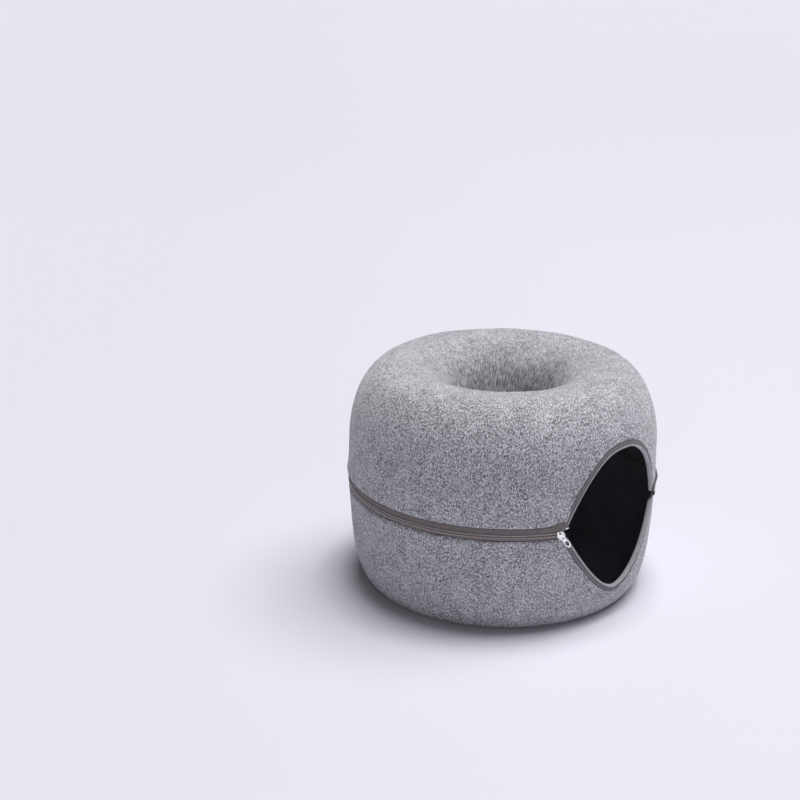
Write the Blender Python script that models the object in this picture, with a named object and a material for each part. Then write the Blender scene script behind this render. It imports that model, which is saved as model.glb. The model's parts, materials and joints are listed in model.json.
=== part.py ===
"""Ring-shaped felt tunnel for a cat: an upper and a lower half shell with linings, joined by an
outer and an inner open-ended zip, with a bound doorway on the -Y side. Metres, +Z up."""
import bisect
import math

import bmesh
import bpy
from mathutils import Matrix, Vector

# Ring cross-section, measured from the ring's vertical axis and from the floor.
outer_radius = 0.250
hole_radius = 0.0739
crown_radius = 0.1746
widest_height = 0.2350
crown_height = 0.3664
zip_height = 0.1703
foot_cut = 0.0118
foot_blend = 0.0080
upper_outer_power = 2.19
lower_outer_power = 3.65
upper_hole_power = 2.85
lower_hole_power = 2.60

# Cloth layers.
felt_thickness = 0.0028
lining_thickness = 0.0006
layer_gap = 0.0003

# Doorway: a pointed oval with its two corners on the zip line.
door_half_width = 0.1145
door_rise = 0.1153
door_drop = 0.1192
door_rise_power = 2.4
door_drop_power = 1.7

# Door binding: a folded strip round the cut edge of felt and lining.
binding_reach = 0.0085
binding_thickness = 0.0006
binding_gap = 0.0006

# Zip cross-section: distances from the chain's centre line along the cloth, heights above the felt.
web_thickness = 0.0004
run_gap = 0.0003
chain_half_height = 0.0031
coil_thickness = 0.0018
tape_edge = 0.0008
tape_thickness = 0.0008
tape_gap = 0.0003
tape_reach = 0.0135
upper_setback = 0.0055
lower_setback = 0.0075
tape_turn_start = 0.0053
tape_turn_end = 0.0072
tape_tuck = 0.0160
tape_tuck_gap = 0.0006
lining_setback = 0.0175
edge_zone = 0.0110
door_rows_end = 0.1400

# Zip ends: a box and pin where the zip starts, a slider and stops where it closes.
end_gap = 0.0008
box_length = 0.0070
box_height = 0.0036
box_thickness = 0.0030
pin_height = 0.0020
pin_thickness = 0.0016
stop_length = 0.0020
stop_grip = 0.0016
stop_height = 0.0010
tape_overrun = 0.0055
lower_tape_overrun = 0.0045
tape_curl = 0.0048
tape_curl_share = 0.4
tape_flare = 0.0070
inner_tape_gap = 0.0030
inner_tape_curl = 0.0025

# Slider.
slider_length = 0.0090
slider_inset = 0.0030
slider_rear_width = 0.0078
slider_front_width = 0.0092
slider_notch = 0.0008
plate_thickness = 0.0011
flange_thickness = 0.0008
flange_clearance = 0.0004
slider_slack = 0.0005
web_length = 0.0026
bridge_width = 0.0012
bridge_thickness = 0.0009
bridge_half_tunnel = 0.0030
bridge_corner = 0.0009
bridge_inner_corner_share = 0.6
slider_back_share = 0.92
web_front_share = 0.86
flange_rear_share = 0.93
flange_front_share = 0.80
joining_share = 0.3

# Half outline of the slider's plates, from rear to front: share of the half length, then shares of
# the rear and the front half widths.
slider_outline_shares = (
    (-1.00, 0.85, 0.00),
    (-0.80, 1.00, 0.00),
    (0.00, 0.80, 0.20),
    (0.35, 0.00, 1.00),
    (0.85, 0.00, 1.00),
    (1.00, 0.00, 0.75),
)

# Pull tab.
pull_thickness = 0.0012
pull_eye_half_width = 0.0046
pull_eye_length = 0.0036
pull_arm_width = 0.0010
pull_waist_half_width = 0.0031
pull_waist_at = 0.0108
pull_loop_half_width = 0.0046
pull_loop_at = 0.0196
pull_length = 0.0272
pull_loop_rim = 0.0018
pull_hole_radius = 0.0009
pull_hole_at = 0.0078
pull_hang_angle = math.radians(57.0)
pull_root_share = 0.94
pull_arm_share = 0.7
pull_arm_thickness_share = 0.98
pull_root_cut_share = 0.4
pull_loop_start_share = 0.74
pull_tip_rim_shares = 2.2

# Half outline of the pull: shares of the distances of the eye's end, the waist, the loop's widest
# place and the tip from the crossbar, then shares of the half widths of eye, waist and loop.
pull_outline_shares = (
    ((0.20, 0.00, 0.00, 0.00), (1.000, 0.000, 0.00)),
    ((1.00, 0.00, 0.00, 0.00), (0.960, 0.000, 0.00)),
    ((0.50, 0.50, 0.00, 0.00), (0.465, 0.465, 0.00)),
    ((0.00, 1.00, 0.00, 0.00), (0.000, 1.000, 0.00)),
    ((0.00, 1.25, 0.00, 0.00), (0.000, 1.040, 0.00)),
    ((0.00, 0.62, 0.50, 0.00), (0.000, 0.500, 0.50)),
    ((0.00, 0.00, 0.93, 0.00), (0.000, 0.000, 1.00)),
    ((0.00, 0.00, 1.04, 0.00), (0.000, 0.000, 0.98)),
    ((0.00, 0.00, 0.50, 0.50), (0.000, 0.000, 0.74)),
    ((0.00, 0.00, 0.00, 0.98), (0.000, 0.000, 0.26)),
    ((0.00, 0.00, 0.00, 1.00), (0.000, 0.000, 0.06)),
)

# Half outline of the loop's opening: shares of the distances of its start, the loop's widest place
# and its end from the crossbar, then the share of its half width.
pull_loop_shares = (
    ((1.08, 0.00, 0.00), 0.62),
    ((0.00, 0.97, 0.00), 1.00),
    ((0.00, 0.50, 0.50), 0.66),
)

# Mesh fineness.
door_columns = 16
ring_columns = 40
door_rows = 3
crown_rows = 8
heel_rows = 4
hole_rows = 4
fine_samples = 1600
bar_sides = 12
normal_samples = 3.0
least_column_share = 0.25

felt_colour = (0.26, 0.25, 0.29, 1.0)
lining_colour = (0.010, 0.010, 0.013, 1.0)
tape_colour = (0.150, 0.130, 0.138, 1.0)
coil_colour = (0.200, 0.175, 0.185, 1.0)
binding_colour = (0.240, 0.225, 0.245, 1.0)
metal_colour = (0.80, 0.79, 0.80, 1.0)
stop_colour = (0.70, 0.69, 0.70, 1.0)
box_colour = (0.030, 0.030, 0.034, 1.0)

full_turn = 2.0 * math.pi
half_turn = math.pi
quarter_turn = 0.5 * math.pi


def clear_scene():
    for item in list(bpy.data.objects):
        bpy.data.objects.remove(item, do_unlink=True)


def material(name, colour, metallic, roughness):
    """One Principled material for each piece."""
    made = bpy.data.materials.new(name)
    made.use_nodes = True
    shader = made.node_tree.nodes["Principled BSDF"]
    shader.inputs["Base Color"].default_value = colour
    shader.inputs["Metallic"].default_value = metallic
    shader.inputs["Roughness"].default_value = roughness
    made.diffuse_color = colour
    return made


def smooth_max(first, second, blend):
    """Larger of two values, rounded over the blend width and exact beyond it."""
    if blend <= 0.0:
        return max(first, second)
    overlap = max(blend - abs(first - second), 0.0) / blend
    return max(first, second) + overlap * overlap * blend * 0.25


def superellipse_point(angle):
    """Point of the ring's cross-section: 0 is the outer side, a quarter turn is the crown."""
    across = math.cos(angle)
    up = math.sin(angle)
    outer = across >= 0.0
    if up >= 0.0:
        power = upper_outer_power if outer else upper_hole_power
    else:
        power = lower_outer_power if outer else lower_hole_power
    middle = widest_height if outer else zip_height
    reach = outer_radius - crown_radius if outer else crown_radius - hole_radius
    side = 1.0 if outer else -1.0
    radius = crown_radius + side * reach * abs(across) ** (2.0 / power)
    if up >= 0.0:
        height = middle + (crown_height - middle) * abs(up) ** (2.0 / power)
    else:
        height = middle - (middle + foot_cut) * abs(up) ** (2.0 / power)
        height = smooth_max(height, 0.0, foot_blend)
    return radius, height


class Curve:
    """Cross-section line with its arc length and outward direction at every sample."""

    def __init__(self, points, outward_side):
        self.points = points
        self.lengths = [0.0]
        for before, after in zip(points, points[1:]):
            step = math.hypot(after[0] - before[0], after[1] - before[1])
            self.lengths.append(self.lengths[-1] + step)
        self.total = self.lengths[-1]
        self.outward_side = outward_side
        self.turning = [0.0]
        last = None
        for before, after in zip(points, points[1:]):
            heading = math.atan2(after[1] - before[1], after[0] - before[0])
            turn = 0.0
            if last is not None:
                turn = abs((heading - last + half_turn) % full_turn - half_turn)
            self.turning.append(self.turning[-1] + turn)
            last = heading

    def place(self, length):
        """Radius and height at a length along the line."""
        length = min(max(length, 0.0), self.total)
        index = bisect.bisect_right(self.lengths, length) - 1
        index = min(index, len(self.points) - 2)
        span = self.lengths[index + 1] - self.lengths[index]
        share = (length - self.lengths[index]) / span
        before = self.points[index]
        after = self.points[index + 1]
        return tuple(a + (b - a) * share for a, b in zip(before, after))

    def at(self, length, depth):
        """Point at a length along the line and a height above it, as radius and height."""
        reach = self.total / fine_samples * normal_samples
        low = self.place(length - reach)
        high = self.place(length + reach)
        here = self.place(length)
        run = math.hypot(high[0] - low[0], high[1] - low[1])
        normal_r = self.outward_side * (high[1] - low[1]) / run
        normal_z = -self.outward_side * (high[0] - low[0]) / run
        return here[0] + depth * normal_r, here[1] + depth * normal_z

    def spread(self, start, end, count):
        """Lengths between two ends, closer together where the line bends."""
        wanted = []
        weights = []
        for index, length in enumerate(self.lengths):
            weights.append(length / self.total + self.turning[index] / self.turning[-1])
        low = self.weight_at(start, weights)
        high = self.weight_at(end, weights)
        for step in range(count + 1):
            target = low + (high - low) * step / count
            index = bisect.bisect_right(weights, target) - 1
            index = min(max(index, 0), len(weights) - 2)
            span = weights[index + 1] - weights[index]
            share = (target - weights[index]) / span if span > 0.0 else 0.0
            gap = self.lengths[index + 1] - self.lengths[index]
            wanted.append(self.lengths[index] + gap * share)
        wanted[0] = start
        wanted[-1] = end
        return wanted

    def weight_at(self, length, weights):
        index = bisect.bisect_right(self.lengths, length) - 1
        index = min(max(index, 0), len(weights) - 2)
        span = self.lengths[index + 1] - self.lengths[index]
        share = (length - self.lengths[index]) / span
        return weights[index] + (weights[index + 1] - weights[index]) * share


def outer_zip_angle():
    """Section angle where the outer side crosses the height of the zips."""
    low, high = -quarter_turn, 0.0
    for _ in range(60):
        middle = 0.5 * (low + high)
        if superellipse_point(middle)[1] < zip_height:
            low = middle
        else:
            high = middle
    return 0.5 * (low + high)


def section_curves():
    """Upper line runs from the outer zip over the crown, lower line under the foot, to the inner zip."""
    start = outer_zip_angle()
    upper = []
    lower = []
    for step in range(fine_samples + 1):
        share = step / fine_samples
        upper.append(superellipse_point(start + (half_turn - start) * share))
        angle = start - (half_turn + start) * share
        lower.append(superellipse_point(angle))
    return Curve(upper, 1.0), Curve(lower, -1.0)


upper_line, lower_line = section_curves()
outer_zip_radius = upper_line.place(0.0)[0]


def ring_point(azimuth, radius, height):
    """Azimuth 0 faces -Y, and grows towards +X."""
    return Vector((radius * math.sin(azimuth), -radius * math.cos(azimuth), height))


def on_line(line, azimuth, length, depth):
    radius, height = line.at(length, depth)
    return ring_point(azimuth, radius, height)


def make_object(name, vertices, faces, colour, metallic=0.0, roughness=0.9):
    mesh = bpy.data.meshes.new(name)
    mesh.from_pydata(vertices, [], faces)
    work = bmesh.new()
    work.from_mesh(mesh)
    bmesh.ops.recalc_face_normals(work, faces=work.faces)
    work.to_mesh(mesh)
    work.free()
    made = bpy.data.objects.new(name, mesh)
    bpy.context.scene.collection.objects.link(made)
    finish_object(made, colour, metallic, roughness)
    return made


def finish_object(made, colour, metallic, roughness):
    made.data.materials.clear()
    made.data.materials.append(material(made.name, colour, metallic, roughness))
    made.data.polygons.foreach_set("use_smooth", [True] * len(made.data.polygons))
    made.data.set_sharp_from_angle(angle=math.radians(35.0))
    made.data.update()


def loft(name, sections, closed, colour, metallic=0.0, roughness=0.9, outside_rows=0):
    """Closed body through sections of equal point count, joined round or capped at both ends.
    With outside_rows, nested layers get their quads split along the same diagonal."""
    count = len(sections[0])
    vertices = [point for section in sections for point in section]
    faces = []
    spans = len(sections) if closed else len(sections) - 1
    for column in range(spans):
        here = column * count
        there = ((column + 1) % len(sections)) * count
        for row in range(count):
            after = (row + 1) % count
            quad = (here + row, here + after, there + after, there + row)
            if not outside_rows:
                faces.append(quad)
            elif row < outside_rows:
                faces.append((quad[0], quad[1], quad[2]))
                faces.append((quad[0], quad[2], quad[3]))
            else:
                faces.append((quad[0], quad[1], quad[3]))
                faces.append((quad[1], quad[2], quad[3]))
    if not closed:
        faces.append(tuple(range(count)))
        last = (len(sections) - 1) * count
        faces.append(tuple(last + row for row in range(count)))
    return make_object(name, vertices, faces, colour, metallic, roughness)


door_half_angle = door_half_width / outer_zip_radius


def door_edge(line, azimuth):
    """Length along the cloth from the zip line to the doorway's edge, 0 outside the doorway."""
    height = door_rise if line is upper_line else door_drop
    power = door_rise_power if line is upper_line else door_drop_power
    turned = (azimuth + half_turn) % full_turn - half_turn
    share = abs(turned) / door_half_angle
    if share >= 1.0:
        return 0.0
    return height * (1.0 - share ** power)


def ring_azimuths():
    """Columns round the ring, closest together at the doorway's corners."""
    inside = []
    for step in range(door_columns):
        share = 2.0 * step / door_columns - 1.0
        inside.append(door_half_angle * math.sin(quarter_turn * share))
    rest = full_turn - 2.0 * door_half_angle
    outside = [door_half_angle + rest * step / ring_columns for step in range(ring_columns)]
    return inside + outside


columns = ring_azimuths()


def rows_past_door(line, high):
    """Lengths of the rows past the doorway's own, one of them at each end of the foot's flat."""
    flat = [length for length, point in zip(line.lengths, line.points) if point[1] <= 0.0]
    if not flat:
        return line.spread(door_rows_end, high, crown_rows)[1:]
    heel = line.spread(door_rows_end, flat[0], heel_rows)[1:]
    return heel + line.spread(flat[-1], high, hole_rows)


def shell(name, line, felt_setback, own_setback, outer_depth, thickness, colour):
    """Half ring of cloth with its doorway edge built in; nested layers share their rows."""
    sections = []
    high = line.total - felt_setback - edge_zone
    past_door = rows_past_door(line, high)
    for azimuth in columns:
        edge = door_edge(line, azimuth)
        low = max(felt_setback, edge) + edge_zone
        lengths = [max(own_setback, edge)]
        lengths += line.spread(low, door_rows_end, door_rows)
        lengths += past_door
        lengths.append(line.total - own_setback)
        outside = [on_line(line, azimuth, length, outer_depth) for length in lengths]
        inside = [on_line(line, azimuth, length, outer_depth - thickness) for length in lengths]
        sections.append(outside + inside[::-1])
    return loft(name, sections, True, colour, outside_rows=len(outside))


def door_path(line, setback, slider_end_length, box_end_length):
    """Corners of the doorway's edge as (azimuth, length, offset direction into the cloth)."""
    corners = []
    for azimuth in columns[:door_columns] + [door_half_angle]:
        corners.append((azimuth, max(setback, door_edge(line, azimuth))))
    path = []
    for before, after in zip(corners, corners[1:]):
        end_length = slider_end_length if before[0] < 0.0 else box_end_length
        for low, high in ((before, after), (after, before)):
            if low[1] < end_length <= high[1]:
                share = (end_length - low[1]) / (high[1] - low[1])
                cut = (low[0] + (high[0] - low[0]) * share, end_length)
                path.append(cut)
        if after[1] > end_length and after[0] < door_half_angle:
            path.append(after)
    path = sorted(set(path))
    flat = [(azimuth * outer_zip_radius, length) for azimuth, length in path]
    normals = []
    for before, after in zip(flat, flat[1:]):
        run = math.hypot(after[0] - before[0], after[1] - before[1])
        normals.append((-(after[1] - before[1]) / run, (after[0] - before[0]) / run))
    result = []
    for index, (azimuth, length) in enumerate(path):
        one = normals[max(index - 1, 0)]
        two = normals[min(index, len(normals) - 1)]
        scale = 1.0 / (1.0 + one[0] * two[0] + one[1] * two[1])
        result.append((azimuth, length, (one[0] + two[0]) * scale, (one[1] + two[1]) * scale))
    return result


def binding(name, line, setback, slider_end_length, box_end_length, inner_slack, colour):
    """Folded strip: a leg outside the felt, a web round the edge and a leg inside the lining, with
    slack where it also goes round the tucked tape."""
    cloth = felt_thickness + layer_gap + lining_thickness
    outer_low = binding_gap
    outer_high = binding_gap + binding_thickness
    inner_high = -cloth - binding_gap - inner_slack
    inner_low = inner_high - binding_thickness
    web_near = -binding_gap
    web_far = web_near - binding_thickness
    corner = 0.5 * binding_thickness
    profile = [
        (binding_reach, outer_low),
        (binding_reach, outer_high),
        (web_far + corner, outer_high),
        (web_far, outer_high - corner),
        (web_far, inner_low + corner),
        (web_far + corner, inner_low),
        (binding_reach, inner_low),
        (binding_reach, inner_high),
        (web_near, inner_high),
        (web_near, outer_low),
    ]
    sections = []
    path = door_path(line, setback, slider_end_length, box_end_length)
    for index, (azimuth, length, across, along) in enumerate(path):
        radius = line.place(length)[0]
        at_end = index in (0, len(path) - 1)
        section = []
        for reach, depth in profile:
            if at_end:
                section.append(on_line(line, azimuth + reach / across / radius, length, depth))
            else:
                turned = azimuth + reach * across / radius
                section.append(on_line(line, turned, length + reach * along, depth))
        sections.append(section)
    return loft(name, sections, False, colour)


class ZipSide:
    """One side of one zip: lengths are measured from the chain's centre line."""

    def __init__(self, line, at_hole):
        self.line = line
        self.at_hole = at_hole

    def point(self, azimuth, away, depth):
        length = self.line.total - away if self.at_hole else away
        if away < 0.0:
            radius, height = self.line.at(self.line.total if self.at_hole else 0.0, depth)
            side = 1.0 if self.line is upper_line else -1.0
            return ring_point(azimuth, radius, height + side * away)
        return on_line(self.line, azimuth, length, depth)


coil_low = tape_gap + tape_thickness + run_gap
coil_high = coil_low + coil_thickness
coil_edge = 0.5 * web_thickness + run_gap


def arc_columns(start, end):
    """Ring columns between two azimuths, with both ends added."""
    chosen = [start]
    for azimuth in sorted(columns + [c + full_turn for c in columns] + [c - full_turn for c in columns]):
        close = least_column_share * full_turn / (ring_columns + door_columns)
        if start + close < azimuth < end - close:
            chosen.append(azimuth)
    chosen.append(end)
    return chosen


def strip(name, side, azimuths, profile_at, colour, roughness=0.85):
    sections = []
    for azimuth in azimuths:
        sections.append([side.point(azimuth, away, depth) for away, depth in profile_at(azimuth)])
    return loft(name, sections, False, colour, 0.0, roughness)


def flat_tape_profile(flare, flare_start, curl, curl_start, curl_end):
    """Tape that lies on the felt. Near the doorway it is turned up: its far edge flares out, and
    past the end of the chain its near edge turns away."""
    low = tape_gap
    high = tape_gap + tape_thickness

    def profile(azimuth):
        flared = min(max((azimuth - flare_start) / (curl_start - flare_start), 0.0), 1.0)
        curled = min(max((azimuth - curl_start) / (curl_end - curl_start), 0.0), 1.0)
        edge = tape_edge + curl * curled
        reach = tape_reach + flare * flared
        return [(edge, low), (edge, high), (reach, high), (reach, low)]
    return profile


def tucked_tape_profile(full_until, short_until):
    """Tape that turns in past the edge of the felt and lies behind it. Past the first azimuth its
    hidden part is cut short, and past the second it stays flat."""
    low = tape_gap
    high = tape_gap + tape_thickness
    deep_high = -felt_thickness - tape_tuck_gap
    deep_low = deep_high - tape_thickness
    half = 0.5 * tape_thickness
    step = 0.5 * half
    tucked = [
        (tape_edge, low),
        (tape_edge, high),
        (tape_turn_start + tape_thickness, high),
        (tape_turn_end, deep_high + tape_thickness),
        (tape_turn_end + tape_thickness, deep_high),
        (tape_tuck, deep_high),
        (tape_tuck, deep_low),
        (tape_turn_end - half, deep_low),
        (tape_turn_start - half, low),
    ]
    short = [
        (tape_edge, low),
        (tape_edge, high),
        (tape_turn_start + half, high),
        (tape_turn_start + tape_thickness, deep_high + tape_thickness),
        (tape_turn_start + 3.0 * half, deep_high),
        (tape_turn_end - half, deep_high),
        (tape_turn_end - half, deep_low),
        (tape_turn_start + half, deep_low),
        (tape_turn_start - half, low),
    ]
    flat = [
        (tape_edge, low),
        (tape_edge, high),
        (tape_turn_start - 3.0 * step, high),
        (tape_turn_start - 2.0 * step, high),
        (tape_turn_start - step, high),
        (tape_turn_start, high),
        (tape_turn_start, low),
        (tape_turn_start - step, low),
        (tape_turn_start - 3.0 * step, low),
    ]

    def profile(azimuth):
        if azimuth > short_until:
            return flat
        return short if azimuth > full_until else tucked
    return profile


def coil_profile(azimuth):
    corner = 0.35 * coil_thickness
    return [
        (coil_edge, coil_low),
        (coil_edge, coil_high - corner),
        (coil_edge + corner, coil_high),
        (chain_half_height - corner, coil_high),
        (chain_half_height, coil_high - corner),
        (chain_half_height, coil_low),
    ]


class Place:
    """Frame on the wall for the zip's small pieces: x round the ring, y up, w out of the cloth."""

    def __init__(self, azimuth, radius, outward):
        self.azimuth = azimuth
        self.radius = radius
        self.outward = outward

    def bend(self, x, y, w):
        turned = self.azimuth + x / self.radius
        return ring_point(turned, self.radius + self.outward * w, zip_height + y)

    def straight(self):
        """Matrix of the flat frame that touches the wall here."""
        origin = ring_point(self.azimuth, self.radius, zip_height)
        along = Vector((math.cos(self.azimuth), math.sin(self.azimuth), 0.0)) * self.outward
        out = Vector((math.sin(self.azimuth), -math.cos(self.azimuth), 0.0)) * self.outward
        up = Vector((0.0, 0.0, 1.0))
        turn = Matrix((along, up, out)).transposed().to_4x4()
        return Matrix.Translation(origin) @ turn


def prism(outline, low, high, mapper, bent=False):
    """Mesh of an outline in (x, y) raised from one height to another, through a mapper. A bent one
    gets flat triangles, which a boolean cuts exactly."""
    work = bmesh.new()
    bottom = [work.verts.new(mapper(x, y, low)) for x, y in outline]
    top = [work.verts.new(mapper(x, y, high)) for x, y in outline]
    work.faces.new(bottom)
    work.faces.new(top)
    count = len(outline)
    for index in range(count):
        after = (index + 1) % count
        work.faces.new((bottom[index], bottom[after], top[after], top[index]))
    bmesh.ops.recalc_face_normals(work, faces=work.faces)
    if bent:
        bmesh.ops.triangulate(work, faces=work.faces, ngon_method="EAR_CLIP")
    mesh = bpy.data.meshes.new("prism")
    work.to_mesh(mesh)
    work.free()
    made = bpy.data.objects.new("prism", mesh)
    bpy.context.scene.collection.objects.link(made)
    return made


def rectangle(low_x, high_x, low_y, high_y):
    return [(low_x, low_y), (high_x, low_y), (high_x, high_y), (low_x, high_y)]


def combine(target, others, operation):
    """Join or cut with exact booleans, then remove the other bodies."""
    for other in others:
        step = target.modifiers.new("step", "BOOLEAN")
        step.operation = operation
        step.solver = "EXACT"
        step.object = other
        graph = bpy.context.evaluated_depsgraph_get()
        mesh = bpy.data.meshes.new_from_object(target.evaluated_get(graph))
        target.modifiers.clear()
        target.data = mesh
        bpy.data.objects.remove(other, do_unlink=True)
    return target


def bridge_outline(low):
    """Side view of the arch over the slider, in (x, w)."""
    inner = bridge_half_tunnel
    outer = bridge_half_tunnel + bridge_thickness
    inside_top = pull_pivot_depth + 0.5 * pull_thickness + run_gap
    outside_top = inside_top + bridge_thickness
    corner = bridge_corner
    bend = bridge_corner * bridge_inner_corner_share
    return [
        (-outer, low), (-outer, outside_top - corner), (-outer + corner, outside_top),
        (outer - corner, outside_top), (outer, outside_top - corner), (outer, low),
        (inner, low), (inner, inside_top - bend), (inner - bend, inside_top),
        (-inner + bend, inside_top), (-inner, inside_top - bend), (-inner, low),
    ]


plate_low = coil_high + run_gap
plate_high = plate_low + plate_thickness
pull_pivot_depth = plate_high + run_gap + 0.5 * pull_thickness


def slider(name, place, colour):
    """Two plates joined by a thin web at the leading end, side flanges and an arch for the pull."""
    half = 0.5 * slider_length
    rear = 0.5 * slider_rear_width
    front = 0.5 * slider_front_width
    side = [(half * along, rear * rear_share + front * front_share)
            for along, rear_share, front_share in slider_outline_shares]
    outline = [(x, -y) for x, y in side] + [(half - slider_notch, 0.0)] + side[::-1]
    overlap = joining_share * plate_thickness
    flange_inner = chain_half_height + flange_clearance
    flange_outer = flange_inner + flange_thickness
    flange_low = coil_low
    back_high = -slider_slack
    back_low = back_high - plate_thickness
    body = prism(outline, plate_low, plate_high, place.bend, True)
    body.name = name
    back = prism([(x, y * slider_back_share) for x, y in outline], back_low, back_high, place.bend, True)
    web_front = half * web_front_share
    web = prism(rectangle(web_front - web_length, web_front, -0.5 * web_thickness, 0.5 * web_thickness),
                back_high - overlap, plate_low + overlap, place.bend, True)
    flanges = []
    for side in (-1.0, 1.0):
        edges = sorted((side * flange_inner, side * flange_outer))
        outline = rectangle(-half * flange_rear_share, half * flange_front_share, edges[0], edges[1])
        flanges.append(prism(outline, flange_low, plate_low + overlap, place.bend, True))
    arch = prism(bridge_outline(plate_high - overlap), -0.5 * bridge_width, 0.5 * bridge_width,
                 lambda x, w, y: place.bend(x, y, w), True)
    combine(body, [web] + flanges + [back, arch], "UNION")
    finish_object(body, colour, 1.0, 0.25)
    return body


def pull_outline():
    """Outer edge of the pull tab, in (along, across)."""
    distances = (pull_eye_length, pull_waist_at, pull_loop_at, pull_length)
    widths = (pull_eye_half_width + pull_arm_width, pull_waist_half_width, pull_loop_half_width)
    half = [(-0.5 * pull_thickness, widths[0] * pull_root_share)]
    for along_shares, across_shares in pull_outline_shares:
        along = sum(share * size for share, size in zip(along_shares, distances))
        across = sum(share * size for share, size in zip(across_shares, widths))
        half.append((along, across))
    return half + [(along, -across) for along, across in reversed(half)]


def pull_loop_outline():
    """Edge of the pointed opening in the pull's loop, in (along, across)."""
    start = pull_loop_at * pull_loop_start_share
    end = pull_length - pull_loop_rim * pull_tip_rim_shares
    width = pull_loop_half_width - pull_loop_rim
    distances = (start, pull_loop_at, end)
    side = []
    for along_shares, across_share in pull_loop_shares:
        along = sum(share * size for share, size in zip(along_shares, distances))
        side.append((along, width * across_share))
    return [(start, 0.0)] + [(along, -across) for along, across in side] + [(end, 0.0)] + side[::-1]


def circle(centre, radius):
    points = []
    for step in range(bar_sides):
        angle = full_turn * step / bar_sides
        points.append((centre + radius * math.cos(angle), radius * math.sin(angle)))
    return points


def pull(name, place, colour):
    """Waisted tab with a round crossbar at its eye, a small hole and a pointed loop."""
    frame = place.straight()
    hang = pull_hang_angle if place.outward > 0.0 else half_turn - pull_hang_angle
    tilt = Matrix.Rotation(-hang, 4, "Z")
    stand = Matrix.Translation((0.0, 0.0, pull_pivot_depth))
    local = frame @ stand @ tilt

    def mapper(along, across, height):
        return local @ Vector((along, across, height))

    half = 0.5 * pull_thickness
    body = prism(pull_outline(), -half, half, mapper)
    body.name = name
    eye = prism(rectangle(0.0, pull_eye_length, -pull_eye_half_width, pull_eye_half_width),
                -pull_thickness, pull_thickness, mapper)
    loop = prism(pull_loop_outline(), -pull_thickness, pull_thickness, mapper)
    dot = prism(circle(pull_hole_at, pull_hole_radius), -pull_thickness, pull_thickness, mapper)
    root_reach = pull_eye_half_width + pull_arm_width * pull_root_cut_share
    root = prism(rectangle(-pull_thickness, half + run_gap, -root_reach, root_reach),
                 -pull_thickness, pull_thickness, mapper)
    combine(body, [eye, loop, dot, root], "DIFFERENCE")
    reach = pull_eye_half_width + pull_arm_width * pull_arm_share
    bar = prism(circle(0.0, half), -reach, reach,
                lambda along, height, across: mapper(along, across, height))
    arm_half = half * pull_arm_thickness_share
    arms = []
    for side in (-1.0, 1.0):
        edges = sorted((side * pull_eye_half_width, side * reach))
        outline = rectangle(0.0, half + 2.0 * run_gap, edges[0], edges[1])
        arms.append(prism(outline, -arm_half, arm_half, mapper))
    combine(body, arms + [bar], "UNION")
    finish_object(body, colour, 1.0, 0.25)
    return body, local


def stop(name, place, side, curl, colour):
    """Small clip over the tape's edge, open towards the tape."""
    low = tape_gap - run_gap - stop_height
    high = tape_gap + tape_thickness + run_gap + stop_height
    near = tape_edge + curl - run_gap - stop_height
    far = tape_edge + curl + stop_grip
    outline = [
        (near, low), (far, low), (far, low + stop_height), (near + stop_height, low + stop_height),
        (near + stop_height, high - stop_height), (far, high - stop_height), (far, high), (near, high),
    ]
    body = prism(outline, -0.5 * stop_length, 0.5 * stop_length,
                 lambda y, w, x: place.bend(x, side * y, w))
    body.name = name
    finish_object(body, colour, 1.0, 0.3)
    return body


def pin(name, place, colour):
    low = tape_gap + tape_thickness + run_gap
    body = prism(rectangle(-0.5 * box_length, 0.5 * box_length, coil_edge, coil_edge + pin_height),
                 low, low + pin_thickness, place.bend)
    body.name = name
    finish_object(body, colour, 0.0, 0.4)
    return body


def box(name, place, colour):
    """Block on the lower tape with a lip in front of the pin, open at the top."""
    low = tape_gap + tape_thickness + run_gap
    high = low + box_thickness
    lip = low + pin_thickness + run_gap
    outline = [
        (-box_height, low), (0.0, low), (0.0, lip), (coil_edge + pin_height, lip),
        (coil_edge + pin_height, high), (-box_height, high),
    ]
    half = 0.5 * box_length
    body = prism(outline, -half, half, lambda y, w, x: place.bend(x, y, w))
    body.name = name
    finish_object(body, colour, 0.0, 0.4)
    return body


def set_origin(made, place_matrix):
    """Move an object's origin to a frame without moving its surface."""
    made.data.transform(place_matrix.inverted())
    made.matrix_world = place_matrix


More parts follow.
